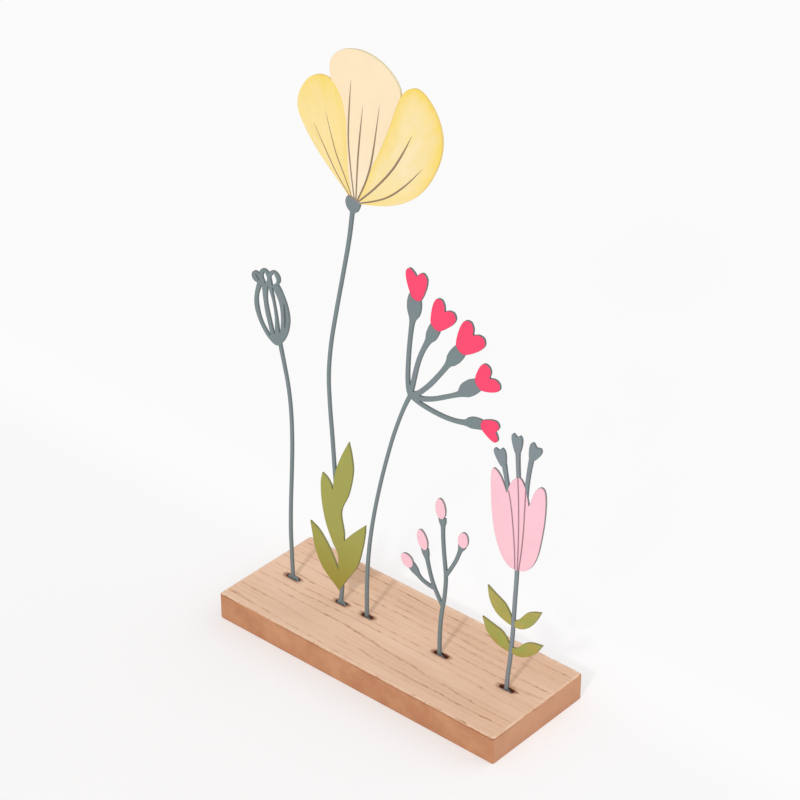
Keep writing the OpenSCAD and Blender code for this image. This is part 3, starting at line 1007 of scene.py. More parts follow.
class Effect:
    """A shader group that several finishes share, built when it is first asked for."""

    name = ""
    inputs: tuple[tuple[str, str], ...] = ()
    outputs: tuple[tuple[str, str], ...] = ()

    def tree(self) -> bpy.types.NodeTree:
        """Makes the group with its sockets and nodes, unless it has been made before.

        Returns:
            The group.
        """
        made = bpy.data.node_groups.get(self.name)
        if made is None:
            made = bpy.data.node_groups.new(self.name, "ShaderNodeTree")
            for direction, sockets in (("INPUT", self.inputs), ("OUTPUT", self.outputs)):
                for title, kind in sockets:
                    made.interface.new_socket(name=title, in_out=direction, socket_type=f"NodeSocket{kind}")
            wiring = Wiring(made)
            entry = wiring.add("NodeGroupInput").outputs
            given = {title: Value(wiring, entry[title]) for title, _ in self.inputs}
            wiring.add("NodeGroupOutput", self.wire(wiring, given))
        return made

    def wire(self, wiring: Wiring, given: dict[str, Value]) -> dict[str, Value]:
        """Adds the group's nodes behind its given inputs, and returns a value for every output."""
        raise NotImplementedError

    def use(self, wiring: Wiring, **values: object) -> dict[str, Value]:
        """Places the group in a material with values for its inputs, and returns its outputs."""
        node = wiring.add("ShaderNodeGroup", values, node_tree=self.tree())
        return {title: Value(wiring, node.outputs[title]) for title, _ in self.outputs}


class EnamelSkin(Effect):
    """Sprayed paint: clouds of tone, fine speckle and a faint orange peel."""

    name = "enamel_skin"
    inputs = (("Colour", "Color"), ("Cloud", "Float"), ("Gloss", "Float"))
    outputs = (("Colour", "Color"), ("Roughness", "Float"), ("Height", "Float"))

    # Noise scales per metre, the speckle's part in the tone and the peel's in the roughness
    CLOUDS, SPECKLE, PEEL = 70, 1400, 900
    SPECKLE_SHARE, PEEL_SHARE = 0.5, 0.18

    def wire(self, wiring: Wiring, given: dict[str, Value]) -> dict[str, Value]:
        """Lets brightness follow wide clouds and speckle, and roughness and height follow the peel.

        Args:
            wiring: Calls that add nodes to the group.
            given: Colour, cloud and gloss.

        Returns:
            Colour, roughness and height.
        """
        clouds = wiring.noise(self.CLOUDS, 3)
        speckle = wiring.noise(self.SPECKLE, 2)
        peel = wiring.noise(self.PEEL, 3)
        swing = (clouds - 0.5) + (speckle - 0.5) * self.SPECKLE_SHARE
        level = swing * given["Cloud"] + 1.0
        grey = wiring.out("ShaderNodeCombineColor", 0, {0: level, 1: level, 2: level})
        colour = wiring.mix(1.0, given["Colour"], grey, "MULTIPLY")
        return {"Colour": colour, "Roughness": given["Gloss"] + peel * self.PEEL_SHARE, "Height": peel}


class EdgeBreak(Effect):
    """A ragged change from a face's colour to the colour of its cut edge."""

    name = "edge_break"
    inputs = (("Face", "Color"), ("Edge", "Color"), ("Mask", "Float"), ("Ragged", "Float"))
    outputs = (("Colour", "Color"),)

    # Noise scale per metre, and the masks between which the colour changes
    GRIT = 1100
    CHANGE = (0.3, 0.6)

    def wire(self, wiring: Wiring, given: dict[str, Value]) -> dict[str, Value]:
        """The stored mask is pushed to and fro by noise before it picks between the colours."""
        mask = given["Mask"] + (wiring.noise(self.GRIT, 3) - 0.5) * given["Ragged"]
        return {"Colour": wiring.mix(mask.band(*self.CHANGE), given["Face"], given["Edge"])}


class FibreBoard(Effect):
    """Pressed wood fibre: soft mottling and fine specks, the same in every direction."""

    name = "fibre_board"
    inputs = (("Light", "Color"), ("Dark", "Color"))
    outputs = (("Colour", "Color"), ("Roughness", "Float"), ("Height", "Float"))

    # Noise scales per metre, the mottling between the two tones, and the specks' part in the tone
    MOTTLE, SPECKS = 60, 1500
    TONES = (0.2, 0.8)
    SPECK_SHARE = 0.6

    def wire(self, wiring: Wiring, given: dict[str, Value]) -> dict[str, Value]:
        """Lets two sizes of noise choose between the tones. The finer one is the height.

        Args:
            wiring: Calls that add nodes to the group.
            given: Light and dark tone.

        Returns:
            Colour, roughness and height.
        """
        mottle = wiring.noise(self.MOTTLE, 3, 0.6)
        specks = wiring.noise(self.SPECKS, 3, 0.7)
        tone = mottle.band(*self.TONES) + (specks - 0.5) * self.SPECK_SHARE
        colour = wiring.mix(tone, given["Light"], given["Dark"])
        return {"Colour": colour, "Roughness": wood_roughness(specks), "Height": specks}


ENAMEL_SKIN = EnamelSkin()
EDGE_BREAK = EdgeBreak()
FIBRE_BOARD = FibreBoard()


def wood_roughness(fibres: Value) -> Value:
    """Roughness of bare wood: rougher where its fibres stand up."""
    return fibres * FIBRE_ROUGHNESS + WOOD_ROUGHNESS


def shaded(wiring: Wiring, name: str, relief: float, skin: dict[str, Value]) -> None:
    """Ends a material in its surface shader.

    Args:
        wiring: Calls that add nodes to the material.
        name: What the bump is called in the tree.
        relief: How deep the skin's height reaches.
        skin: Colour, roughness and height of the surface.
    """
    bump = {"Height": skin["Height"], "Distance": relief, "Strength": 1.0}
    values = {
        "Base Color": skin["Colour"],
        "Roughness": skin["Roughness"],
        "Normal": wiring.out("ShaderNodeBump", "Normal", bump, label=name),
        "Specular IOR Level": SPECULAR,
    }
    shader = wiring.out("ShaderNodeBsdfPrincipled", "BSDF", values)
    wiring.add("ShaderNodeOutputMaterial", {"Surface": shader})


def blank_material(name: str) -> tuple[bpy.types.Material, Wiring]:
    """Makes a material without nodes.

    Args:
        name: Name of the material.

    Returns:
        The material, and the calls that fill it.
    """
    made = bpy.data.materials.new(name)
    made.use_nodes = True
    made.node_tree.nodes.clear()
    return made, Wiring(made.node_tree)


@dataclass(frozen=True)
class Enamel:
    """Paint on cut steel, whose edges show another colour.

    Attributes:
        name: Name of the material.
        slot: The material slot of the paint.
        face: Colour of the faces.
        edge: Colour of the cut edges.
        pale: Colour where the stored "blush" is low, or None where the faces have one colour.
        foot: Colour low on the piece, or None where it doesn't change with height.
        foot_span: Heights between which the foot's colour gives way.
        tint: Colour of patches on the faces, or None where there are none.
        patch: Size of those patches.
        cloud: How much the tone varies.
        gloss: Roughness at its lowest.
        ragged: How ragged the paint's edge is.
        relief: Depth of the orange peel.
    """

    name: str
    slot: Slot
    face: Colour
    edge: Colour
    pale: Colour | None = None
    foot: Colour | None = None
    foot_span: tuple[float, float] = (20 * MM, 65 * MM)
    tint: Colour | None = None
    patch: float = 8 * MM
    cloud: float = 0.1
    gloss: float = 0.42
    ragged: float = 0.5
    relief: float = 0.03 * MM

    # Brush strokes per radian of a fan and per metre along it, and how far they push the blush
    FAN_TURN, FAN_REACH = 14.0, 55.0
    STROKES = 0.9

    # Noise between which a patch's colour sets in
    PATCHY = (0.36, 0.66)

    def material(self) -> bpy.types.Material:
        """Makes the paint: brushed from pale to full, fading towards a foot or patched, where it has these.

        Returns:
            The material.
        """
        made, wiring = blank_material(self.name)
        face: object = linear(self.face)
        if self.pale:
            strokes = wiring.noise_at(self._fan(wiring), 1, 4, 0.6) - 0.5
            face = wiring.mix(wiring.stored("blush") + strokes * self.STROKES, linear(self.pale), face)
        if self.foot:
            face = wiring.mix(wiring.axis("Z").band(*self.foot_span), linear(self.foot), face)
        if self.tint:
            clouds = wiring.noise(1 / self.patch, 2)
            face = wiring.mix(clouds.band(*self.PATCHY), face, linear(self.tint))
        broken = EDGE_BREAK.use(wiring, Face=face, Edge=linear(self.edge), Mask=wiring.stored("edge"),
                                Ragged=self.ragged)
        skin = ENAMEL_SKIN.use(wiring, Colour=broken["Colour"], Cloud=self.cloud, Gloss=self.gloss)
        shaded(wiring, self.name, self.relief, skin)
        return made

    def _fan(self, wiring: Wiring) -> Value:
        """Works out places for brush strokes that fan out from a flower's foot.

        Args:
            wiring: Calls that add nodes to the material.

        Returns:
            The stored angle and distance as coordinates, counted in strokes.
        """
        turn = wiring.stored("fan_turn") * self.FAN_TURN
        reach = wiring.stored("fan_reach") * self.FAN_REACH
        return wiring.out("ShaderNodeCombineXYZ", 0, {0: turn, 1: reach})


@dataclass(frozen=True)
class Veneer:
    """Unvarnished veneer with its grain along X.

    Attributes:
        name: Name of the material.
        light: Palest tone.
        dark: Tone of the darker bands.
        line: Colour of the long grain lines.
        fleck: Colour of the short dashes in them.
        worn_highlight: Paler colour at the board's top edges, partly wear and partly painted highlight.
        stain: Colour of the smudges round the slots.
        drift: How fast the wood darkens along X.
        spacing: Usual distance between two grain lines.
        worn_highlight_reach: How far the worn and highlighted edges reach.
        smudge: How far the smudges reach.
        relief: Depth of the grain.
    """

    name: str
    light: Colour
    dark: Colour
    line: Colour
    fleck: Colour
    worn_highlight: Colour
    stain: Colour
    drift: float = 3.0
    spacing: float = 7 * MM
    worn_highlight_reach: float = 1.3 * MM
    smudge: float = 1.3 * MM
    relief: float = 0.12 * MM

    # Noise scales per metre, along the grain and across it
    BANDS = (8, 60, 60)
    FIBRES = (60, 1500, 1500)
    PATCHES = (14, 120, 120)
    DASHES = (260, 700, 700)
    BEND = (2, 38, 38)
    RIPPLE = (45, 30, 30)
    BLUR = (250, 700, 700)
    WORN_HIGHLIGHT_NOISE = 130

    # Noise between which dark bands, main lines, faint lines, dashes, flecks and the worn, highlighted edge
    # places set in
    DARK, LINED, FAINTLY_LINED = (0.3, 0.7), (0.32, 0.6), (0.36, 0.64)
    DASHED, FLECKED, WORN = (0.24, 0.62), (0.58, 0.7), (0.36, 0.56)

    # Shares of the lines' spacing at which main lines, faint lines and flecks fade out and are full
    LINE, FAINT, FLECK = (0.11, 0.03), (0.3, 0.1), (0.15, 0.03)

    # By how many spacings the lines bend and ripple, and the faint lines' spacing by the main ones'
    BENDING, RIPPLING, FAINT_SPACING = 5.0, 0.5, 0.4

    # Strength of the fibres in the tone, of faint lines, of flecks, and of flecks away from main lines
    FIBRE_SHARE, FAINT_SHARE, FLECK_SHARE, STRAY_FLECKS = 1.1, 0.26, 0.5, 0.2

    # Strength of the smudges and how far they blur by their reach, and height of fibres by the flecks' depth
    SMUDGE_SHARE, BLURRING, FIBRE_HEIGHT = 0.85, 1.5, 0.4

    def material(self) -> bpy.types.Material:
        """Noise stretched along X: soft bands, fine fibres, and grain lines broken into dashes.

        A grain line runs where a value that grows across the grain, bent by noise, passes a half. Fainter
        and closer lines run between the main ones. The wood is paler towards its left end.

        Returns:
            The material.
        """
        made, wiring = blank_material(self.name)
        bands = wiring.noise(self.BANDS, 3, 0.6)
        fibres = wiring.noise(self.FIBRES, 3, 0.6)
        dashes = wiring.noise(self.DASHES, 3)
        tone = bands.band(*self.DARK) + (fibres - 0.5) * self.FIBRE_SHARE + wiring.axis("X") * self.drift
        colour = wiring.mix(tone, linear(self.light), linear(self.dark))
        off = self._off_line(wiring, self.spacing)
        here = wiring.noise(self.PATCHES, 2).band(*self.LINED)
        off_faint = self._off_line(wiring, self.FAINT_SPACING * self.spacing)
        faint = off_faint.band(*self.FAINT) * bands.band(*self.FAINTLY_LINED)
        lines = (off.band(*self.LINE) * here).at_least(faint * self.FAINT_SHARE)
        colour = wiring.mix(lines * dashes.band(*self.DASHED), colour, linear(self.line))
        flecks = off.band(*self.FLECK) * dashes.band(*self.FLECKED) * (here + self.STRAY_FLECKS)
        colour = wiring.mix(flecks * self.FLECK_SHARE, colour, linear(self.fleck))
        skin = {
            "Colour": self._marked(wiring, colour),
            "Roughness": wood_roughness(fibres),
            "Height": fibres * self.FIBRE_HEIGHT - flecks,
        }
        shaded(wiring, self.name, self.relief, skin)
        return made

    def _off_line(self, wiring: Wiring, spacing: float) -> Value:
        """How far a place is from the nearest grain line, as a share of the lines' spacing."""
        bend = wiring.noise(self.BEND, 2) * self.BENDING + wiring.noise(self.RIPPLE, 2) * self.RIPPLING
        return abs((wiring.axis("Y") / spacing + bend).past_whole() - 0.5)

    def _marked(self, wiring: Wiring, colour: Value) -> Value:
        """Smudges the veneer near the slots, and paints its edges pale: partly wear, partly painted
        highlight where the eased edges catch the light.

        Args:
            wiring: Calls that add nodes to the material.
            colour: The veneer's colour.

        Returns:
            The marked colour.
        """
        blur = (wiring.noise(self.BLUR, 3) - 0.5) * (self.BLURRING * self.smudge)
        smudge = (wiring.stored("slot") + blur).band(self.smudge, 0.0) * self.SMUDGE_SHARE
        colour = wiring.mix(smudge, colour, linear(self.stain))
        # Painted highlight with wear: the veneer turns pale towards the board's edges, where the eased edge
        # catches the light
        wear_and_highlight = (1.0 - wiring.stored("rim") / self.worn_highlight_reach) * wiring.noise(self.WORN_HIGHLIGHT_NOISE, 3).band(*self.WORN)
        return EDGE_BREAK.use(wiring, Face=colour, Edge=linear(self.worn_highlight), Mask=wear_and_highlight, Ragged=1.0)["Colour"]


@dataclass(frozen=True)
class Core:
    """Bare pressed fibre, where the board is cut, under the veneer's edge.

    Attributes:
        name: Name of the material.
        light: Paler tone.
        dark: Darker tone.
        end_light: Lighter tone on the board's ends, painted light for the light that falls on them.
        veneer: Colour of the veneer's edge.
        glue: Colour of the glue line under the veneer.
        veneer_edge: Height of the veneer's edge.
        glue_edge: Height of the glue line.
        end_light_span: Distances from the board's end at which the painted light on the end is full and
            fades out.
        ragged: How ragged the veneer's edge is.
        relief: Depth of the fibres.
    """

    name: str
    light: Colour
    dark: Colour
    end_light: Colour
    veneer: Colour
    glue: Colour
    veneer_edge: float = 0.25 * MM
    glue_edge: float = 0.7 * MM
    end_light_span: tuple[float, float] = (0.1 * MM, 0.3 * MM)
    ragged: float = 0.5
    relief: float = 0.08 * MM

    # Noise scales per metre, and the noise between which the glue line sets in
    SWAY, GAPS = 110, 45
    BREAKS = (0.34, 0.52)

    # Strength of the painted light on the ends, and of the glue line
    SAWN_SHARE, GLUE_SHARE = 0.5, 0.85

    def material(self) -> bpy.types.Material:
        """Makes the fibre, with a broken glue line at an uneven depth and the veneer's edge above that.

        Returns:
            The material.
        """
        made, wiring = blank_material(self.name)
        fibre = FIBRE_BOARD.use(wiring, Light=linear(self.light), Dark=linear(self.dark))
        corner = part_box("wooden_base")[1]
        full, faded = self.end_light_span
        # Painted light: the board's ends are turned towards a lighter tone for the light that falls on them
        at_end = abs(wiring.axis("X")).band(corner.x - faded, corner.x - full)
        fibres = wiring.mix(at_end * self.SAWN_SHARE, fibre["Colour"], linear(self.end_light))
        depth = corner.z - wiring.axis("Z") + (wiring.noise(self.SWAY, 3) - 0.5) * self.glue_edge
        from_line = abs(depth - (self.veneer_edge + self.glue_edge / 2))
        line = from_line.band(self.glue_edge / 2, 0.0) * wiring.noise(self.GAPS, 2).band(*self.BREAKS)
        colour = wiring.mix(line * self.GLUE_SHARE, fibres, linear(self.glue))
        bare = 1.0 - depth / (2 * self.veneer_edge)
        edged = EDGE_BREAK.use(wiring, Face=colour, Edge=linear(self.veneer), Mask=bare, Ragged=self.ragged)
        shaded(wiring, self.name, self.relief, fibre | edged)
        return made


@dataclass(frozen=True)
class Adhesive:
    """Set resin in the bottom of a slot.

    Attributes:
        colour: Colour of the resin.
        cloud: How much its tone varies.
        gloss: Roughness at its lowest.
        relief: Depth of its bubbles.
    """

    colour: Colour
    cloud: float = 0.3
    gloss: float = 0.2
    relief: float = 0.2 * MM

    def material(self) -> bpy.types.Material:
        """Makes the resin, with small bubbles and an uneven top.

        Returns:
            The material.
        """
        made, wiring = blank_material(Slot.ADHESIVE.value)
        skin = ENAMEL_SKIN.use(wiring, Colour=linear(self.colour), Cloud=self.cloud, Gloss=self.gloss)
        shaded(wiring, Slot.ADHESIVE.value, self.relief, skin)
        return made


STEEL_EDGE: Colour = (104, 112, 112)
GREY = Enamel("grey", Slot.GREY, face=(121, 137, 138), edge=(108, 119, 119), tint=(126, 136, 141),
              patch=20 * MM, cloud=0.14)
TULIP_GREY = Enamel("tulip_grey", Slot.GREY, face=(130, 145, 149), edge=(112, 120, 123),
                    tint=(135, 142, 149), patch=20 * MM, cloud=0.14)
RED = Enamel("red", Slot.RED, face=(255, 70, 112), edge=STEEL_EDGE)
PINK = Enamel("pink", Slot.PINK, face=(255, 202, 214), edge=(142, 132, 135))
OLIVE = Enamel("olive", Slot.OLIVE, face=(164, 163, 80), edge=(134, 132, 80), foot=(158, 147, 60))
GOLDEN_OLIVE = Enamel("golden_olive", Slot.OLIVE, face=(182, 166, 88), edge=(138, 134, 80),
                      foot=(172, 150, 70), foot_span=(35 * MM, 60 * MM), tint=(162, 166, 82))
YELLOW = Enamel("yellow", Slot.YELLOW, face=(252, 219, 92), edge=(242, 210, 122), pale=(254, 234, 188))
CREAM = Enamel("cream", Slot.CREAM, face=(255, 232, 194), edge=(226, 214, 174), foot=(255, 236, 204),
               foot_span=(250 * MM, 285 * MM))
VEIN = Enamel("vein", Slot.GREY, face=(150, 127, 102), edge=(150, 127, 102), foot=(147, 141, 148),
              foot_span=(246 * MM, 248 * MM))
TULIP_LINE = Enamel("tulip_line", Slot.GREY, face=(162, 123, 132), edge=(162, 123, 132))
VENEER = Veneer("veneer", light=(244, 206, 178), dark=(235, 194, 164), line=(210, 160, 126),
                fleck=(164, 110, 78), worn_highlight=(249, 214, 187), stain=(146, 96, 70))
CORE = Core("core", light=(208, 151, 112), dark=(184, 123, 87), end_light=(210, 160, 129),
            veneer=(226, 180, 145), glue=(134, 84, 58))
# Inside of the slots: the core's reddish fibre, darkened far below the core's tone as painted shade for the
# recess
SHADED_SLOT_WALL = Core("slot_wall_painted_shade", light=(134, 76, 50), dark=(104, 56, 38), end_light=(134, 76, 50),
                 veneer=(134, 76, 50), glue=(104, 56, 38))
RESIN = Adhesive((196, 168, 112))


# Sub-assemblies


class Piece(NamedTuple):
    """A made object, the finishes of its zones, its slot and the node that it stands for."""

    made: bpy.types.Object
    finishes: tuple
    slot: Slot
    node: str | None = None


@dataclass
class Assembly:
    """Pieces that are built and dressed together.

    Attributes:
        pieces: The pieces made so far.
    """

    pieces: list[Piece] = field(default_factory=list)

    def build(self) -> None:
        """Makes the meshes."""
        raise NotImplementedError

    def plate(self, node: str, finish: Enamel, pitch: float) -> None:
        """Makes one plate from its node, with its paint and the side of its cells."""
        made = FlatPiece(node, pitch=pitch).build()
        self.pieces.append(Piece(made, (finish,), finish.slot, node))

    def plates(self, name: str, count: int, finish: Enamel, pitch: float) -> None:
        """Makes plates of one kind, whose nodes are numbered from 1."""
        for number in range(1, count + 1):
            self.plate(f"{name}_{number}", finish, pitch)

    def paint(self, name: str, lines: list[PaintLine], plate: str, finish: Enamel, height: float) -> None:
        """Paints lines on the front of a plate's node. The paint stands out by the height."""
        made = paint_lines(name, lines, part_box(plate)[0].y, height)
        self.pieces.append(Piece(made, (finish,), finish.slot))

    def dress(self, materials: dict) -> None:
        """Gives every piece its materials and its body, and hides the node that it replaces.

        Args:
            materials: Materials made so far, by finish.
        """
        for made, finishes, slot, node in self.pieces:
            for finish in finishes:
                if finish not in materials:
                    materials[finish] = finish.material()
                made.data.materials.append(materials[finish])
            if len(finishes) == 1:
                only = np.zeros(len(made.data.polygons), np.int32)
                made.data.polygons.foreach_set("material_index", only)
            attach(made, BODY)
            if node:
                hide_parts(node)
            LOG.info("%s: %d faces", made.name, len(made.data.polygons))


@dataclass
class Board(Assembly):
    """The board with its slots, and the resin in them.

    Attributes:
        pitch: Side of a cell.
        easing: Radius of the eased edges.
        bite: Depth of the nicks in the top edge.
        corner: Radius of the upright edges.
        along_grain: How short a distance along the grain counts, for the smudges round the slots.
    """

    pitch: float = 0.52 * MM
    easing: float = 0.5 * MM
    bite: float = 0.75 * MM
    corner: float = 1.2 * MM
    along_grain: float = 0.45

    def build(self) -> None:
        """The board is a flat piece that lies level. Its slots are steps in its top."""
        made = FlatPiece("wooden_base", Plane.LEVEL, self.pitch, self.easing, self.bite, self.corner).build()
        self._store_slots(made)
        self.pieces.append(Piece(made, (VENEER, CORE, SHADED_SLOT_WALL), Slot.WOOD, "wooden_base"))

    def _store_slots(self, made: bpy.types.Object) -> None:
        """Stores every vertex's distance from the nearest slot, counted short along the grain.

        Args:
            made: The board.
        """
        slots = FlatSolid("wooden_base", Plane.LEVEL).front_steps
        squeeze = np.array([self.along_grain, 1.0])
        points = places(made)
        away = Outline(slots.starts * squeeze, slots.ends * squeeze).nearest(points[:, :2] * squeeze)[2]
        put_values(made, "slot", away + points[:, 2].max() - points[:, 2])

    def dress(self, materials: dict) -> None:
        """Dresses the board, and gives the resin of the frame its material.

        Args:
            materials: Materials made so far, by finish.
        """
        super().dress(materials)
        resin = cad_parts["slot_glue"]
        resin.data.materials.clear()
        resin.data.materials.append(RESIN.material())
        LOG.info("%s: kept from the frame", resin.name)


@dataclass
class SeedPod(Assembly):
    """The seed pod on its stem, one plate.

    Attributes:
        pitch: Side of a cell.
    """

    pitch: float = 0.25 * MM

    def build(self) -> None:
        """One plate."""
        self.plate("seed_pod", GREY, self.pitch)


@dataclass
class Poppy(Assembly):
    """The tall poppy: stalk, three petals with painted veins, and the spray of leaves.

    Attributes:
        pitch: Side of a cell on the stalk and the leaves.
        petal_pitch: Side of a cell on the petals.
        vein_root: Width of a vein where it starts, as a share of its full width.
        vein_tip: Width of a vein where it ends.
        vein_height: How far the veins stand out.
        foot: Place from which the petals' brush strokes fan out, across and up.
        blush_reach: Distance from a petal's edge over which its yellow fades.
        blush_span: Distances from the foot between which the yellow gathers.
        blush_low: Share of the yellow left at the outer edge, and at the foot.
    """

    pitch: float = 0.3 * MM
    petal_pitch: float = 0.5 * MM
    vein_root: float = 0.8
    vein_tip: float = 0.12 * MM
    vein_height: float = 0.06 * MM
    foot: tuple[float, float] = (-25 * MM, 240 * MM)
    blush_reach: float = 5.5 * MM
    blush_span: tuple[float, float] = (30 * MM, 70 * MM)
    blush_low: tuple[float, float] = (0.2, 0.72)

    # Full width of each vein, then its places across and up, in millimetres
    VEINS = (
        (0.65, ((-27, 246.3), (-35.8, 256.2), (-42.5, 266), (-50.2, 278.2))),
        (0.7, ((-26.5, 246.1), (-31.6, 257.2), (-37.1, 268.2), (-43, 287))),
        (0.95, ((-25.6, 246), (-28, 264), (-29, 278), (-28.1, 294), (-27, 306.5))),
        (1.0, ((-24.8, 246), (-23.8, 262), (-22.4, 277), (-20, 296))),
        (1.1, ((-24.4, 246), (-18, 260), (-14.4, 273), (-10, 299))),
        (1.1, ((-24.2, 245.8), (-13, 257), (-3, 269), (3.7, 279.8), (9, 290))),
        (0.9, ((-24, 245.5), (-13, 250.5), (-4.2, 255.8), (5.5, 264.6), (15.5, 276))),
    )

    # Turns up to which a petal's edge is yellow and from which it is pale, its wash and its edge's yellow
    BLUSH = {"poppy_left_petal": (18, 42, 0.48, 0.36), "poppy_right_petal": (50, 70, 0.15, 0.8)}

    def build(self) -> None:
        """Plates, then the veins across the petals."""
        self.plate("poppy_stalk", GREY, self.pitch)
        self.plate("poppy_left_petal", YELLOW, self.petal_pitch)
        self.plate("poppy_middle_petal", CREAM, self.petal_pitch)
        self.plate("poppy_right_petal", YELLOW, self.petal_pitch)
        self.plate("leaf_spray", OLIVE, self.pitch)
        for piece in self.pieces:
            if piece.node in self.BLUSH:
                self._store_strokes(piece.made, *self.BLUSH[piece.node])
        veins = [PaintLine(points, width * self.vein_root * MM, width * MM, self.vein_tip)
                 for width, points in self.VEINS]
        self.paint("poppy_veins", veins, "poppy_middle_petal", VEIN, self.vein_height)

    def _store_strokes(self, made: bpy.types.Object, yellow_turn: float, pale_turn: float, wash: float,
                       edging: float) -> None:
        """Stores what the brushed yellow of a petal follows.

        Every vertex gets its angle and distance from the petals' foot. Its blush is a wash, with a yellow
        on top that falls off from the petal's edge inwards and towards its outer side. Both gather upwards.

        Args:
            made: The petal.
            yellow_turn: Angle in degrees up to which the edge is yellow.
            pale_turn: Angle in degrees from which the edge is pale.
            wash: Share of yellow all over the petal.
            edging: Share of yellow added at its edge.
        """
        across, _, up = (places(made) - (self.foot[0], 0, self.foot[1])).T
        turn, reach = np.arctan2(across, up), np.hypot(across, up)
        rim = np.empty(len(turn), np.float32)
        made.data.attributes["rim"].data.foreach_get("value", rim)
        outer_low, foot_low = self.blush_low
        side = 1 - (1 - outer_low) * rise(np.degrees(np.abs(turn)), yellow_turn, pale_turn)
        gather = foot_low + (1 - foot_low) * rise(reach, *self.blush_span)
        put_values(made, "fan_turn", turn)
        put_values(made, "fan_reach", reach)
        put_values(made, "blush", gather * (wash + edging * side * np.exp(-rim / self.blush_reach)))


@dataclass
class Umbel(Assembly):
    """The stalk with five rays, and a red heart on each.

    Attributes:
        hearts: Number of hearts.
        pitch: Side of a cell on the stalk.
        heart_pitch: Side of a cell on a heart.
    """

    hearts: int = 5
    pitch: float = 0.3 * MM
    heart_pitch: float = 0.25 * MM

    def build(self) -> None:
        """Plates only."""
        self.plate("umbel_stalk", GREY, self.pitch)
        self.plates("umbel_heart", self.hearts, RED, self.heart_pitch)


@dataclass
class Sprig(Assembly):
    """The low sprig with four pink buds.

    Attributes:
        buds: Number of buds.
        pitch: Side of a cell on the stalk.
        bud_pitch: Side of a cell on a bud.
    """

    buds: int = 4
    pitch: float = 0.25 * MM
    bud_pitch: float = 0.2 * MM

    def build(self) -> None:
        """Plates only."""
        self.plate("sprig_stalk", GREY, self.pitch)
        self.plates("sprig_bud", self.buds, PINK, self.bud_pitch)


@dataclass
class Tulip(Assembly):
    """The tulip: stalk with stamens, pink cup with painted lines, and two pairs of leaves.

    Attributes:
        leaves: Number of leaves.
        pitch: Side of a cell.
        line: Width of a painted line.
        line_height: How far the lines stand out.
    """

    leaves: int = 4
    pitch: float = 0.25 * MM
    line: float = 0.78 * MM
    line_height: float = 0.05 * MM

    # Places of each line across and up, in millimetres
    LINES = (
        ((68.2, 129), (70, 121), (71.2, 112), (72.2, 103), (72.9, 94), (73.2, 86.5)),
        ((73.4, 139), (74.3, 125), (74.7, 112), (74.8, 100), (74.6, 86.5)),
        ((78.3, 134.5), (78, 122), (77.6, 110), (76.9, 100), (76, 92), (75.3, 86.5)),
    )

    def build(self) -> None:
        """Plates, then the lines on the cup."""
        self.plate("tulip_stalk", TULIP_GREY, self.pitch)
        self.plate("tulip_cup", PINK, self.pitch)
        self.plates("tulip_leaf", self.leaves, GOLDEN_OLIVE, self.pitch)
        lines = [PaintLine(points, self.line, self.line, self.line) for points in self.LINES]
        self.paint("tulip_lines", lines, "tulip_cup", TULIP_LINE, self.line_height)


# Studio


@dataclass(frozen=True)
class Lamp:
    """A far lamp. Its angles are in degrees, as the studio's are.

    Attributes:
        name: Name of the lamp.
        turn: Where it stands round the ornament.
        rise: How high it stands above the floor.
        spread: How wide it looks from the ornament.
        strength: Its strength.
    """

    name: str
    turn: float
    rise: float
    spread: float
    strength: float


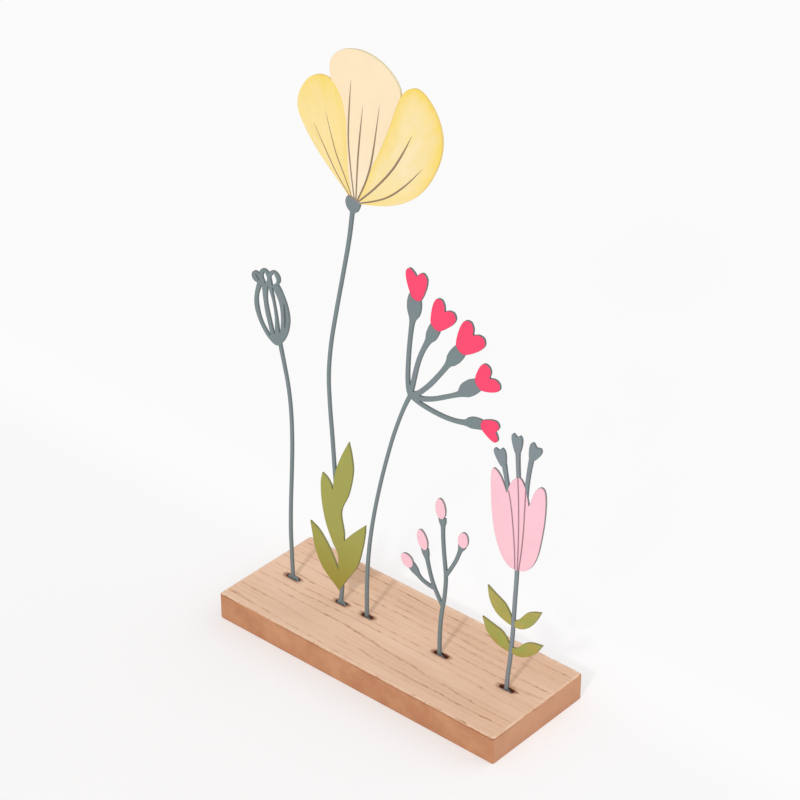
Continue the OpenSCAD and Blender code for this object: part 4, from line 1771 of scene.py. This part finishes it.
@dataclass(frozen=True)
class Studio:
    """Floor, soft light and the camera.

    Angles are in degrees: a turn of 0 stands in front of the ornament and grows towards its right end.

    Attributes:
        floor_side: Side of the floor.
        floor_colour: Colour of the floor.
        glow_span: Places along Y between which the floor begins to shine and shines most.
        glow_share: Shares of the floor's look that no shadow reaches, before and behind the ornament.
        glow_strength: Strengths of that shine, before and behind the ornament.
        sky: Strength of the light from all round.
        lamps: The main lamp at the front, and a weak wide one behind, to the right.
        view_turn: Turn of the camera.
        view_rise: Height of the camera, as an angle.
        view_reach: Distance of the camera.
        view_right: How far the camera is moved to its right.
        view_up: How far the camera is moved up.
        focal_pixels: Focal length in pixels of the picture.
        picture_pixels: Width of the picture in pixels.
        sensor: Width of the camera's sensor in millimetres.
    """

    floor_side: float = 12.0
    floor_colour: Colour = (252, 251, 251)
    glow_span: tuple[float, float] = (10 * MM, 110 * MM)
    glow_share: tuple[float, float] = (0.35, 0.95)
    glow_strength: tuple[float, float] = (1.14, 1.0)
    sky: float = 0.6
    lamps: tuple[Lamp, ...] = (
        Lamp("key_lamp", turn=17, rise=33, spread=5, strength=1.05),
        Lamp("fill_lamp", turn=145, rise=32, spread=60, strength=0.65),
    )
    view_turn: float = 41.13
    view_rise: float = 31.32
    view_reach: float = 1.3144
    view_right: float = 0.0015
    view_up: float = 0.1283
    focal_pixels: float = 2629
    picture_pixels: int = 800
    sensor: float = 36

    @staticmethod
    def axes(turn: float, rise: float) -> tuple[Array, Array, Array]:
        """Unit vectors to the right, up and back of something that looks at the ornament.

        Args:
            turn: Its turn in degrees.
            rise: Its height in degrees.

        Returns:
            Right, up and back.
        """
        a, e = math.radians(turn), math.radians(rise)
        back = np.array([math.sin(a) * math.cos(e), -math.cos(a) * math.cos(e), math.sin(e)])
        right = np.array([math.cos(a), math.sin(a), 0])
        return right, np.cross(back, right), back

    def build(self) -> None:
        """Makes the floor, the light and the camera."""
        self._floor()
        self._light()
        self._camera()
        bpy.context.scene.view_settings.view_transform = "Standard"

    def _floor(self) -> None:
        """A plain pale square. To the camera and in gloss it shines, most of all behind the ornament."""
        half = self.floor_side / 2
        points = np.array([[-half, -half, 0], [half, -half, 0], [half, half, 0], [-half, half, 0]])
        floor = put_mesh("studio_floor", points, [np.array([[0, 1, 2, 3]])], [0])
        made, wiring = blank_material("studio_floor")
        shine = wiring.axis("Y").band(*self.glow_span)
        colour = linear(self.floor_colour)
        matt = wiring.out("ShaderNodeBsdfDiffuse", 0, {"Color": colour})
        strength = self._change(shine, *self.glow_strength)
        glow = wiring.out("ShaderNodeEmission", 0, {"Color": colour, "Strength": strength})
        share = self._seen(wiring) * self._change(shine, *self.glow_share)
        mixed = wiring.out("ShaderNodeMixShader", 0, {0: share, 1: matt, 2: glow})
        wiring.add("ShaderNodeOutputMaterial", {"Surface": mixed})
        floor.data.materials.append(made)

    @staticmethod
    def _change(share: Value, first: float, last: float) -> Value:
        """A change from one value to another by a share."""
        return share * (last - first) + first

    @staticmethod
    def _seen(wiring: Wiring) -> Value:
        """Tells what the camera sees, straight or in gloss or glass, from light on things.

        Args:
            wiring: Calls that add nodes to the tree.

        Returns:
            1 for what the camera sees, and 0 for light on things.
        """
        kinds = ("Is Camera Ray", "Is Glossy Ray", "Is Transmission Ray")
        camera, gloss, glass = (wiring.out("ShaderNodeLightPath", kind) for kind in kinds)
        return camera.at_least(gloss.at_least(glass))

    def _light(self) -> None:
        """Even light from all round, white to the camera, and the soft lamps."""
        world = bpy.data.worlds.new("studio")
        bpy.context.scene.world = world
        world.use_nodes = True
        world.node_tree.nodes.clear()
        wiring = Wiring(world.node_tree)
        strength = self._seen(wiring).at_least(self.sky)
        sky = wiring.out("ShaderNodeBackground", "Background", {"Color": (1, 1, 1, 1), "Strength": strength})
        wiring.add("ShaderNodeOutputWorld", {"Surface": sky})
        for lamp in self.lamps:
            light = bpy.data.lights.new(lamp.name, "SUN")
            light.angle = math.radians(lamp.spread)
            light.energy = lamp.strength
            stand = bpy.data.objects.new(lamp.name, light)
            bpy.context.scene.collection.objects.link(stand)
            right, up, back = self.axes(lamp.turn, lamp.rise)
            self._aim(stand, right, up, back, back)

    def _camera(self) -> None:
        """A camera at the picture's angle and distance."""
        lens = bpy.data.cameras.new("camera")
        lens.sensor_width = self.sensor
        lens.lens = self.sensor * self.focal_pixels / self.picture_pixels
        camera = bpy.data.objects.new("camera", lens)
        bpy.context.scene.collection.objects.link(camera)
        right, up, back = self.axes(self.view_turn, self.view_rise)
        place = back * self.view_reach + right * self.view_right + up * self.view_up
        self._aim(camera, right, up, back, place)
        bpy.context.scene.camera = camera

    @staticmethod
    def _aim(thing: bpy.types.Object, right: Array, up: Array, back: Array, place: Array) -> None:
        """Stands a lamp or a camera at a place, with its own axes.

        Args:
            thing: The lamp or the camera.
            right: Unit vector to its right.
            up: Unit vector up from it.
            back: Unit vector behind it.
            place: Where it stands.
        """
        matrix = np.eye(4)
        matrix[:3, 0], matrix[:3, 1], matrix[:3, 2], matrix[:3, 3] = right, up, back, place
        thing.matrix_world = Matrix(matrix.tolist())


def main() -> None:
    """Builds and dresses every sub-assembly, then sets up the studio."""
    logging.basicConfig(level=logging.INFO, format="%(message)s")
    materials: dict = {}
    for assembly in (Board(), SeedPod(), Poppy(), Umbel(), Sprig(), Tulip()):
        assembly.build()
        assembly.dress(materials)
    Studio().build()


if __name__ == "__main__":
    main()
